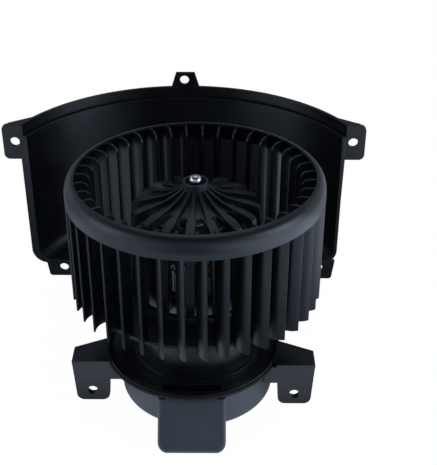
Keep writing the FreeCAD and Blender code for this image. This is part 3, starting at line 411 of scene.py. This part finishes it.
@dataclass
class Bench:
    """Shared steps of making a piece: an empty start, a placed primitive, an edit and a finish."""

    paint: Paint
    facing: float = 0.99
    wire_order: int = 3
    wire_steps: int = 6
    wire_round: int = 2
    smooth_angle: float = 35.0

    def object_mode(self) -> None:
        """Leave edit mode."""
        if bpy.context.object and bpy.context.object.mode != "OBJECT":
            bpy.ops.object.mode_set(mode="OBJECT")

    def begin(self) -> None:
        """Deselect everything, so that an operator acts on the new piece alone."""
        self.object_mode()
        bpy.ops.object.select_all(action="DESELECT")

    def block(self, centre: Sequence[float], size: Sequence[float]) -> bpy.types.Object:
        """Add a box in millimetres and leave it in object mode.

        Args:
            centre: Its middle.
            size: Its three lengths.

        Returns:
            The new object, with its size applied.
        """
        self.begin()
        bpy.ops.mesh.primitive_cube_add(size=1.0, location=[c * MM for c in centre])
        piece = bpy.context.object
        piece.scale = [s * MM for s in size]
        bpy.ops.object.transform_apply(location=False, rotation=False, scale=True)
        return piece

    def round_bar(self, centre: Sequence[float], radius: float, height: float,
                  sides: int = 32) -> bpy.types.Object:
        """Add an upright cylinder in millimetres.

        Args:
            centre: Its middle.
            radius: Its radius.
            height: Its height.
            sides: Number of sides.

        Returns:
            The new object.
        """
        self.begin()
        bpy.ops.mesh.primitive_cylinder_add(vertices=sides, radius=radius * MM, depth=height * MM,
                                            location=[c * MM for c in centre])
        return bpy.context.object

    def pick_faces(self, piece: bpy.types.Object, direction: Sequence[float]) -> None:
        """Enter edit mode with only the faces selected that look one way.

        Args:
            piece: The piece to edit.
            direction: Unit direction of the wanted normals.
        """
        bpy.context.view_layer.objects.active = piece
        if piece.mode != "EDIT":
            bpy.ops.object.mode_set(mode="EDIT")
        bpy.ops.mesh.select_mode(type="FACE")
        bpy.ops.mesh.select_all(action="DESELECT")
        bpy.ops.object.mode_set(mode="OBJECT")
        want = Vector(direction)
        for face in piece.data.polygons:
            face.select = face.normal.dot(want) > self.facing
        bpy.ops.object.mode_set(mode="EDIT")

    def soften(self, piece: bpy.types.Object, width: float, segments: int = 2, angle: float = 40.0) -> None:
        """Bevel the sharp edges of a piece with an applied modifier.

        Args:
            piece: The piece.
            width: Bevel width in millimetres.
            segments: Steps across the bevel.
            angle: Least edge angle in degrees.
        """
        self.object_mode()
        bevel = piece.modifiers.new("edge", "BEVEL")
        bevel.width = width * MM
        bevel.segments = segments
        bevel.limit_method = "ANGLE"
        bevel.angle_limit = math.radians(angle)
        bpy.context.view_layer.objects.active = piece
        bpy.ops.object.modifier_apply(modifier=bevel.name)

    def wire(self, points: Sequence[Point], radius: float) -> bpy.types.Object:
        """Lay a round wire through the pull of its points and turn it into a mesh.

        Args:
            points: Control points in millimetres.
            radius: Wire radius in millimetres.

        Returns:
            The wire as a mesh object.
        """
        self.begin()
        bpy.ops.curve.primitive_nurbs_path_add()
        piece = bpy.context.object
        piece.data.splines.clear()
        line = piece.data.splines.new("NURBS")
        line.points.add(len(points) - 1)
        for spot, (x, y, z) in zip(line.points, points):
            spot.co = (x * MM, y * MM, z * MM, 1.0)
        line.order_u = self.wire_order
        line.use_endpoint_u = True
        line.resolution_u = self.wire_steps
        piece.data.bevel_depth = radius * MM
        piece.data.bevel_resolution = self.wire_round
        piece.data.use_fill_caps = True
        bpy.ops.object.convert(target="MESH")
        return bpy.context.object

    def turn_copy(self, piece: bpy.types.Object, degrees: float) -> bpy.types.Object:
        """Copy a piece with its own mesh, turned about the fan axis.

        Args:
            piece: The model piece, whose place is in its mesh.
            degrees: The turn.

        Returns:
            The copy.
        """
        copy = piece.copy()
        copy.data = piece.data.copy()
        bpy.context.scene.collection.objects.link(copy)
        copy.data.transform(Matrix.Rotation(math.radians(degrees), 4, "Z"))
        return copy

    def settle(self, piece: bpy.types.Object) -> None:
        """Put a piece's place into its mesh and smooth its shallow angles.

        Args:
            piece: The finished piece.
        """
        self.begin()
        piece.select_set(True)
        bpy.context.view_layer.objects.active = piece
        bpy.ops.object.transform_apply(location=True, rotation=True, scale=True)
        bpy.ops.object.shade_smooth_by_angle(angle=math.radians(self.smooth_angle))

    def hand_over(self, piece: bpy.types.Object, name: str, grade: Grade, slot: str) -> None:
        """Name a settled piece, dress it and let it ride on the fixed body.

        Args:
            piece: The settled piece.
            name: Its name.
            grade: Its finish.
            slot: A material slot's name; not used.
        """
        piece.name = name
        piece.data.name = name
        self.paint.cover(piece, grade)
        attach(piece, FRAME_BODY)
        LOG.info("piece %s: %d faces", name, len(piece.data.polygons))


@dataclass
class BrushWiring:
    """Braids, leads and solder tags on the brush card. The front half is the rear half, turned round."""

    bench: Bench
    card_top: float = 87.0
    holder_top: float = 95.2
    brush_x: float = 19.0
    choke: tuple[float, float] = (12.0, 21.5)
    choke_top: float = 107.0
    braid_tag: float = 5.2
    lead_tag: float = 5.8
    wire_end: float = 0.8
    braid_radius: float = 0.75
    lead_radius: float = 0.55
    tag_size: Point = (4.2, 6.0, 0.6)
    tag_gap: float = 0.02
    tag_border: float = 0.9
    eye_height: float = 0.5
    eye_wall: float = 0.35
    eye_depth: float = 0.3
    tag_edge: float = 0.12
    busbar_thick: float = 0.82
    capacitor: tuple[float, float] = (9.5, -23.0)
    capacitor_top: float = 100.0
    capacitor_wire: float = 0.4

    def braids(self) -> None:
        """Lay the flexible braid from each brush up and over to its solder tag."""
        brush, foot = self.brush_x, self.choke[0] + self.braid_tag
        high, low = self.holder_top, self.card_top
        braid = self.bench.wire([
            (brush, 0.0, high + 0.1),
            (brush, 0.3, high + 3.0),
            (brush + 1.5, 4.5, high + 6.5),
            (brush, 11.0, high + 6.0),
            (foot + 1.3, 17.5, high + 0.5),
            (foot, 20.5, low + 2.5),
            (foot, 21.0, low + self.wire_end)], self.braid_radius)
        self.bench.settle(braid)
        other = self.bench.turn_copy(braid, HALF_TURN)
        self.bench.hand_over(braid, "brush_braid_right", MetalGrade.COPPER, "copper")
        self.bench.hand_over(other, "brush_braid_left", MetalGrade.COPPER, "copper")

    def choke_leads(self) -> None:
        """Bend the upper end of each choke's wire over and down to its solder tag."""
        x, y = self.choke
        foot = x - self.lead_tag
        high, low = self.choke_top, self.card_top
        lead = self.bench.wire([
            (x + 2.6, y, high - 3.0),
            (x + 2.8, y, high - 0.6),
            (x, y + 0.2, high + 1.2),
            (foot + 1.2, y + 0.6, high + 0.2),
            (foot, y + 0.4, high - 6.0),
            (foot, y + 0.2, low + 6.0),
            (foot, y, low + self.wire_end)], self.lead_radius)
        self.bench.settle(lead)
        other = self.bench.turn_copy(lead, HALF_TURN)
        self.bench.hand_over(lead, "choke_lead_rear", MetalGrade.TINNED, "copper_wire")
        self.bench.hand_over(other, "choke_lead_front", MetalGrade.TINNED, "copper_wire")

    def tags(self) -> None:
        """Press a solder tag for every wire end: a plate with a raised eye.

        A busbar runs under the rear tag of the choke's lead, so that tag is raised by the strip's thickness.
        """
        x, y = self.choke
        places = ((x + self.braid_tag, y - 0.5, 0.0), (x - self.lead_tag, y, self.busbar_thick))
        for index, (tag_x, tag_y, raised) in enumerate(places, start=1):
            centre = (tag_x, tag_y, self.card_top + self.tag_size[2] / 2 + self.tag_gap)
            tag = self.bench.block(centre, self.tag_size)
            self.bench.pick_faces(tag, UP)
            bpy.ops.mesh.inset(thickness=self.tag_border * MM, depth=0.0)
            bpy.ops.mesh.extrude_region_move(
                TRANSFORM_OT_translate={"value": (0.0, 0.0, self.eye_height * MM)})
            bpy.ops.mesh.inset(thickness=self.eye_wall * MM, depth=-self.eye_depth * MM)
            self.bench.soften(tag, self.tag_edge)
            self.bench.settle(tag)
            other = self.bench.turn_copy(tag, HALF_TURN)
            tag.data.transform(Matrix.Translation((0.0, 0.0, raised * MM)))
            self.bench.hand_over(tag, f"solder_tag_rear_{index}", MetalGrade.BRASS, "brass")
            self.bench.hand_over(other, f"solder_tag_front_{index}", MetalGrade.BRASS, "brass")

    def capacitor_leads(self) -> None:
        """Bring the two capacitor wires out at its top and down into the card."""
        x, y = self.capacitor
        high, low = self.capacitor_top, self.card_top
        for end, side in SIDES:
            lead = self.bench.wire([
                (x + side * 2.4, y + 1.2, high - 0.4),
                (x + side * 2.4, y + 1.4, high + 1.4),
                (x + side * 2.6, y + 3.4, high + 1.6),
                (x + side * 2.8, y + 4.2, high - 1.0),
                (x + side * 2.8, y + 4.2, low + 4.0),
                (x + side * 2.8, y + 4.0, low + 0.1)], self.capacitor_wire)
            self.bench.settle(lead)
            self.bench.hand_over(lead, f"capacitor_lead_{end}", MetalGrade.TINNED, "copper_wire")

    def build(self) -> None:
        """Make all the wiring."""
        self.braids()
        self.choke_leads()
        self.tags()
        self.capacitor_leads()


@dataclass
class BracketHardware:
    """Screws on the end bracket's plate and the lugs that crimp it to the can."""

    bench: Bench
    plate_top: float = 119.0
    screw_circle: float = 30.5
    first_screw: float = 45.0
    screw_count: int = 4
    head_radius: float = 3.0
    head_height: float = 2.0
    head_gap: float = 0.02
    head_dome: tuple[tuple[float, float], ...] = ((0.7, 0.35), (0.6, 0.15))
    head_edge: float = 0.15
    head_edge_angle: float = 50.0
    recess: Point = (3.4, 0.8, 2.0)
    recess_above: float = 0.4
    can_radius: float = 36.0
    can_top: float = 84.0
    lip_top: float = 90.0
    lug_count: int = 6
    lug_gap: float = 0.1
    lug_thick: float = 1.0
    lug_width: float = 7.0
    lug_root: float = 3.0
    lug_bend: float = 1.1
    lug_reach: float = 1.6
    lug_tip: float = 0.75
    lug_edge: float = 0.3

    def screws(self) -> None:
        """Turn one domed head with a cross recess and copy it to the four posts."""
        head_top = self.plate_top + self.head_height
        middle = (self.screw_circle, 0.0, head_top - self.head_height / 2 + self.head_gap)
        screw = self.bench.round_bar(middle, self.head_radius, self.head_height)
        self.bench.pick_faces(screw, UP)
        for inward, rise in self.head_dome:
            bpy.ops.mesh.inset(thickness=inward * MM, depth=rise * MM)
        length, width, depth = self.recess
        for size in ((length, width, depth), (width, length, depth)):
            cutter = self.bench.block((self.screw_circle, 0.0, head_top + self.recess_above), size)
            cut = screw.modifiers.new("recess", "BOOLEAN")
            cut.operation = "DIFFERENCE"
            cut.solver = "EXACT"
            cut.object = cutter
            bpy.context.view_layer.objects.active = screw
            bpy.ops.object.modifier_apply(modifier=cut.name)
            bpy.data.objects.remove(cutter)
        self.bench.soften(screw, self.head_edge, angle=self.head_edge_angle)
        self.bench.settle(screw)
        for index in range(self.screw_count):
            piece = self.bench.turn_copy(screw, self.first_screw + 360.0 / self.screw_count * index)
            self.bench.hand_over(piece, f"bracket_screw_{index + 1}", MetalGrade.SCREW, "zinc_screw")
        bpy.data.objects.remove(screw)

    def lugs(self) -> None:
        """Fold one crimp lug over the bracket's lip and copy it round the can.

        The edges of the inner face under the lip stay selected with the face over it, so the extrusion also
        draws thin open walls from them into the can.
        """
        foot = self.can_top - self.lug_root
        centre = (self.can_radius + self.lug_gap + self.lug_thick / 2, 0.0, (foot + self.lip_top) / 2)
        lug = self.bench.block(centre, (self.lug_thick, self.lug_width, self.lip_top - foot))
        self.bench.pick_faces(lug, UP)
        bpy.ops.mesh.extrude_region_move(
            TRANSFORM_OT_translate={"value": (0.0, 0.0, self.lug_bend * MM)})
        self.bench.pick_faces(lug, LEFT)
        self.bench.object_mode()
        for face in lug.data.polygons:
            height = (face.center.z + lug.location.z) / MM
            face.select = face.normal.x < -self.bench.facing and height > self.lip_top
        bpy.ops.object.mode_set(mode="EDIT")
        bpy.ops.mesh.extrude_region_move(
            TRANSFORM_OT_translate={"value": (-self.lug_reach * MM, 0.0, 0.0)})
        bpy.ops.transform.resize(value=(1.0, self.lug_tip, 1.0))
        self.bench.soften(lug, self.lug_edge, segments=3)
        self.bench.settle(lug)
        for index in range(self.lug_count):
            piece = self.bench.turn_copy(lug, 360.0 / self.lug_count * index)
            self.bench.hand_over(piece, f"crimp_lug_{index + 1}", MetalGrade.ZINC, "zinc_steel")
        bpy.data.objects.remove(lug)

    def build(self) -> None:
        """Make the screws and the lugs."""
        self.screws()
        self.lugs()


@dataclass
class SocketDetail:
    """Latch ramp and guide ribs on the shell of the connector socket."""

    bench: Bench
    centre_z: float = 15.0
    height: float = 14.0
    sink: float = 0.05
    back_y: float = 60.5
    ramp: Point = (6.0, 5.0, 1.6)
    ramp_nose: float = 0.12
    rib: Point = (1.4, 13.0, 1.0)
    rib_x: float = 8.5
    rib_back: float = 1.0
    rib_nose: Point = (0.7, 1.0, 0.6)
    edge: float = 0.25

    def build(self) -> None:
        """Make the ramp and the two ribs."""
        top = self.centre_z + self.height / 2 - self.sink
        rise = self.ramp[2]
        ramp = self.bench.block((0.0, self.back_y, top + rise / 2), self.ramp)
        self.bench.pick_faces(ramp, BACK)
        bpy.ops.transform.resize(value=(1.0, 1.0, self.ramp_nose))
        bpy.ops.transform.translate(value=(0.0, 0.0, (self.ramp_nose - 1.0) / 2 * rise * MM))
        self.finish(ramp, "socket_latch_ramp")
        for end, side in SIDES:
            centre = (side * self.rib_x, self.back_y + self.rib_back, top + self.rib[2] / 2)
            rib = self.bench.block(centre, self.rib)
            self.bench.pick_faces(rib, BACK)
            bpy.ops.transform.resize(value=self.rib_nose)
            self.finish(rib, f"socket_guide_{end}")

    def finish(self, piece: bpy.types.Object, name: str) -> None:
        """Round a piece's edges and give it the socket's finish.

        Args:
            piece: The shaped piece.
            name: Its name.
        """
        self.bench.soften(piece, self.edge)
        self.bench.settle(piece)
        self.bench.hand_over(piece, name, PlasticGrade.CARD, "card_plastic")


class Along(Enum):
    """What a step of brightness is measured along."""

    X = "to the right"
    Y = "to the back"
    Z = "up"
    ASIDE = "away from the middle plane"
    APART = "away from the middle line of the dark strip"
    PATCH = "towards the bright patch"


@dataclass(frozen=True)
class Step:
    """A smooth step of brightness, between two places on the floor or two directions in the world."""

    along: Along
    start: float
    end: float
    before: float = 0.0
    after: float = 1.0

    def sockets(self, measures: dict[Along, bpy.types.NodeSocket]) -> dict:
        """Give the inputs of the node that makes this step, from the output socket of each measure."""
        return {"Value": measures[self.along], "From Min": self.start, "From Max": self.end,
                "To Min": self.before, "To Max": self.after}


# How bright the floor glows in reflections, in metres: painted light and painted shade.
FLOOR_STEPS = {
    # Far ahead the middle is dark: painted shade.
    "ahead": Step(Along.Y, -0.29, -0.35),
    "middle": Step(Along.ASIDE, 0.20, 0.36, 1.0, 0.0),
    # It gets brighter to the right, a painted pool of light, and dimmer behind, painted shade.
    "key": Step(Along.X, 0.14, 0.30, 1.0, 2.3),
    "behind": Step(Along.Y, 0.02, 0.20, 1.0, 0.3),
    # Beside the unit it is bright near the dish and dim further out, until "outer" brings the full level back.
    # From "under" on to the back it is dim near the dish too.
    "inner": Step(Along.ASIDE, 0.09, 0.125, 1.35, 0.2),
    "outer": Step(Along.ASIDE, 0.17, 0.25, 0.2, 1.0),
    "under": Step(Along.Y, -0.06, 0.0),
    # In front of the unit it is brightest in the middle, and "near" is where the levels beside it take over.
    "near": Step(Along.Y, -0.16, -0.07),
    "centre": Step(Along.ASIDE, 0.12, 0.22, 1.7, 1.0),
    # A painted dark strip with soft ends, painted shade, lies across just in front of the unit.
    "strip": Step(Along.APART, 0.043, 0.065, 0.03, 1.0),
    "ends": Step(Along.ASIDE, 0.13, 0.17, 0.05, 1.0),
}

# How bright the world is in reflections, by direction: dim overhead and in the middle, a little brighter from
# the front, and with a bright patch high at the back.
WORLD_STEPS = {
    "height": Step(Along.Z, 0.45, 0.85, 0.60, 0.06),
    "ahead": Step(Along.Y, -0.55, -0.9, 0.0, 0.25),
    "sides": Step(Along.ASIDE, 0.25, 0.60, 0.3, 1.0),
    "patch": Step(Along.PATCH, 0.90, 0.98, 0.0, 0.7),
}


@dataclass(frozen=True)
class SoftBox:
    """One soft lamp: its place and aim, its width and height, its power in watts and its colour."""

    name: str
    place: Point
    aim: Point
    size: tuple[float, float]
    watts: float
    tint: str


@dataclass
class Studio:
    """Pale floor, soft lamps and the camera at the photograph's angle."""

    eye: Point = (0.014196, -0.496755, 0.413803)
    elevation: float = 30.7923
    roll: float = 0.1878
    focal_px: float = 915.54
    frame_px: tuple[int, int] = (437, 465)
    sensor: float = 36.0
    clip_start: float = 0.01
    floor_size: float = 9.0
    paper: str = "#f4f4f4"
    fibre_scale: float = 300.0
    cool: str = "#e6f0ff"
    white: str = "#ffffff"
    # Levels of painted shade in the floor's glow, far ahead and near the dish, and the middle of its painted
    # dark strip.
    far_level: float = 0.1
    under_level: float = 0.2
    strip_y: float = -0.157
    floor_white: float = 1.03
    floor_share: float = 0.95
    patch_toward: Point = (0.0, 0.5, 0.866)
    fill_level: float = 0.45
    aim: Point = (0.0, 0.0, 0.08)

    def place_camera(self) -> None:
        """Set the camera where the photograph was taken from."""
        data = bpy.data.cameras.new("camera")
        data.sensor_width = self.sensor
        data.sensor_fit = "AUTO"
        data.lens = self.focal_px / max(self.frame_px) * self.sensor
        data.clip_start = self.clip_start
        camera = bpy.data.objects.new("camera", data)
        bpy.context.scene.collection.objects.link(camera)
        tilt = Matrix.Rotation(math.radians(90.0 - self.elevation), 4, "X")
        turn = Matrix.Rotation(math.radians(self.roll), 4, "Z")
        camera.matrix_world = Matrix.Translation(Vector(self.eye)) @ tilt @ turn
        bpy.context.scene.camera = camera

    def build_floor(self) -> None:
        """Lay the floor: white to the camera, with the object's shadow kept, and glowing unevenly in reflections
        with painted light and painted shade.
        """
        bpy.ops.object.select_all(action="DESELECT")
        bpy.ops.mesh.primitive_plane_add(size=self.floor_size, location=(0.0, 0.0, 0.0))
        floor = bpy.context.object
        floor.name = "floor"
        material, tree = new_tree("white_paper_and_painted_glow")
        place = add_node(tree, "ShaderNodeTexCoord")
        fibre = add_node(tree, "ShaderNodeTexNoise", inputs={
            "Vector": place.outputs["Object"], "Scale": self.fibre_scale})
        rough = add_node(tree, "ShaderNodeMapRange", inputs={
            "Value": fibre.outputs["Fac"], "To Min": 0.85, "To Max": 0.95})
        paper = add_node(tree, "ShaderNodeBsdfPrincipled", inputs={
            "Base Color": linear(self.paper), "Roughness": rough.outputs["Result"],
            "Specular IOR Level": 0.1})

        parts = add_node(tree, "ShaderNodeSeparateXYZ", inputs={"Vector": place.outputs["Object"]})
        side = add_node(tree, "ShaderNodeMath", {"operation": "ABSOLUTE"}, {0: parts.outputs["X"]})
        gap = add_node(tree, "ShaderNodeMath", {"operation": "ADD"}, {
            0: parts.outputs["Y"], 1: -self.strip_y})
        apart = add_node(tree, "ShaderNodeMath", {"operation": "ABSOLUTE"}, {0: gap.outputs["Value"]})
        measures = {Along.X: parts.outputs["X"], Along.Y: parts.outputs["Y"],
                    Along.ASIDE: side.outputs["Value"], Along.APART: apart.outputs["Value"]}
        level = {}
        for name, step in FLOOR_STEPS.items():
            node = add_node(tree, "ShaderNodeMapRange", {"interpolation_type": "SMOOTHSTEP"},
                            step.sockets(measures))
            level[name] = node.outputs["Result"]

        # The floor's glow in reflections: painted light, with painted shade ahead, near the dish and in the
        # strip.
        shade = add_node(tree, "ShaderNodeMath", {"operation": "MULTIPLY"}, {
            0: level["ahead"], 1: level["middle"]})
        dark = add_node(tree, "ShaderNodeMapRange", inputs={
            "Value": shade.outputs["Value"], "To Min": 1.0, "To Max": self.far_level})
        shaded = add_node(tree, "ShaderNodeMix", {"data_type": "FLOAT"}, {
            "Factor": level["under"], "A": level["inner"], "B": self.under_level})
        band = add_node(tree, "ShaderNodeMath", {"operation": "MAXIMUM"}, {
            0: shaded.outputs["Result"], 1: level["outer"]})
        beside = add_node(tree, "ShaderNodeMix", {"data_type": "FLOAT"}, {
            "Factor": level["near"], "A": level["centre"], "B": band.outputs["Value"]})
        strip_painted_shade = add_node(tree, "ShaderNodeMath", {"operation": "MAXIMUM"}, {
            0: level["strip"], 1: level["ends"]})
        glow = level["key"]
        for factor in (beside.outputs["Result"], strip_painted_shade.outputs["Value"], dark.outputs["Result"],
                       level["behind"]):
            product = add_node(tree, "ShaderNodeMath", {"operation": "MULTIPLY"}, {0: glow, 1: factor})
            glow = product.outputs["Value"]

        path = add_node(tree, "ShaderNodeLightPath")
        shown = add_node(tree, "ShaderNodeMix", {"data_type": "FLOAT"}, {
            "Factor": path.outputs["Is Camera Ray"], "A": glow, "B": self.floor_white})
        tint = add_node(tree, "ShaderNodeMix", {"data_type": "RGBA"}, {
            "Factor": path.outputs["Is Camera Ray"], COLOUR_A: linear(self.cool),
            COLOUR_B: linear(self.white)})
        light = add_node(tree, "ShaderNodeEmission", inputs={
            "Color": tint.outputs[COLOUR_OUT], "Strength": shown.outputs["Result"]})
        seen = path.outputs["Is Camera Ray"]
        for ray in ("Is Glossy Ray", "Is Transmission Ray"):
            either = add_node(tree, "ShaderNodeMath", {"operation": "MAXIMUM"}, {
                0: seen, 1: path.outputs[ray]})
            seen = either.outputs["Value"]
        share = add_node(tree, "ShaderNodeMath", {"operation": "MULTIPLY"}, {0: seen, 1: self.floor_share})
        mixed = add_node(tree, "ShaderNodeMixShader", inputs={
            0: share.outputs["Value"], 1: paper.outputs["BSDF"], 2: light.outputs["Emission"]})
        add_node(tree, "ShaderNodeOutputMaterial", inputs={"Surface": mixed.outputs["Shader"]})
        floor.data.materials.append(material)
        LOG.info("floor %.1f m", self.floor_size)

    def build_world(self) -> None:
        """Surround the scene with white for the camera and a soft fill for the object."""
        world = bpy.data.worlds.new("studio")
        bpy.context.scene.world = world
        world.use_nodes = True
        tree = world.node_tree
        tree.nodes.clear()
        place = add_node(tree, "ShaderNodeTexCoord")
        parts = add_node(tree, "ShaderNodeSeparateXYZ", inputs={"Vector": place.outputs["Generated"]})
        side = add_node(tree, "ShaderNodeMath", {"operation": "ABSOLUTE"}, {0: parts.outputs["X"]})
        toward = add_node(tree, "ShaderNodeVectorMath", {"operation": "DOT_PRODUCT"}, {
            0: place.outputs["Generated"], 1: self.patch_toward})
        measures = {Along.Y: parts.outputs["Y"], Along.Z: parts.outputs["Z"],
                    Along.ASIDE: side.outputs["Value"], Along.PATCH: toward.outputs["Value"]}
        level = {}
        for name, step in WORLD_STEPS.items():
            node = add_node(tree, "ShaderNodeMapRange", {"interpolation_type": "SMOOTHSTEP"},
                            step.sockets(measures))
            level[name] = node.outputs["Result"]

        dimmed = add_node(tree, "ShaderNodeMath", {"operation": "MULTIPLY"}, {
            0: level["height"], 1: level["sides"]})
        glow = dimmed.outputs["Value"]
        for name in ("patch", "ahead"):
            total = add_node(tree, "ShaderNodeMath", {"operation": "ADD"}, {0: glow, 1: level[name]})
            glow = total.outputs["Value"]

        path = add_node(tree, "ShaderNodeLightPath")
        through = add_node(tree, "ShaderNodeMath", {"operation": "MAXIMUM"}, {
            0: path.outputs["Is Glossy Ray"], 1: path.outputs["Is Transmission Ray"]})
        fill = add_node(tree, "ShaderNodeMix", {"data_type": "FLOAT"}, {
            "Factor": through.outputs["Value"], "A": self.fill_level, "B": glow})
        shown = add_node(tree, "ShaderNodeMix", {"data_type": "FLOAT"}, {
            "Factor": path.outputs["Is Camera Ray"], "A": fill.outputs["Result"], "B": 1.0})
        tint = add_node(tree, "ShaderNodeMix", {"data_type": "RGBA"}, {
            "Factor": path.outputs["Is Camera Ray"], COLOUR_A: linear(self.cool),
            COLOUR_B: linear(self.white)})
        sky = add_node(tree, "ShaderNodeBackground", inputs={
            "Color": tint.outputs[COLOUR_OUT], "Strength": shown.outputs["Result"]})
        add_node(tree, "ShaderNodeOutputWorld", inputs={"Surface": sky.outputs["Background"]})

    def add_lamp(self, box: SoftBox) -> None:
        """Add one soft box.

        Args:
            box: The lamp.
        """
        data = bpy.data.lights.new(box.name, "AREA")
        data.shape = "RECTANGLE"
        data.size, data.size_y = box.size
        data.energy = box.watts
        data.color = linear(box.tint)[:3]
        lamp = bpy.data.objects.new(box.name, data)
        bpy.context.scene.collection.objects.link(lamp)
        lamp.location = box.place
        look = Vector(box.aim) - Vector(box.place)
        lamp.rotation_euler = look.to_track_quat("-Z", "Y").to_euler()

    def light(self) -> None:
        """Set a soft box at each side and a weak one above."""
        self.add_lamp(SoftBox("left_box", (-0.85, -0.22, 0.38), self.aim, (0.55, 0.60), 1.6, self.cool))
        self.add_lamp(SoftBox("right_box", (0.88, -0.25, 0.42), self.aim, (0.60, 0.60), 3.5, self.cool))
        self.add_lamp(SoftBox("top_box", (0.05, 0.30, 1.25), (0.0, 0.0, 0.0), (0.8, 0.6), 0.4, self.white))

    def build(self) -> None:
        """Build camera, floor, world and lamps."""
        self.place_camera()
        self.build_floor()
        self.build_world()
        self.light()
        bpy.context.scene.view_settings.view_transform = "Standard"


def main() -> None:
    """Build the scene in order."""
    logging.basicConfig(level=logging.INFO, format="%(name)s: %(message)s")
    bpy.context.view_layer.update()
    paint = Paint()
    studio = Studio()
    studio.build()
    FrameNodes().dress(paint)
    bench = Bench(paint)
    BrushWiring(bench).build()
    BracketHardware(bench).build()
    SocketDetail(bench).build()


if __name__ == "__main__":
    main()
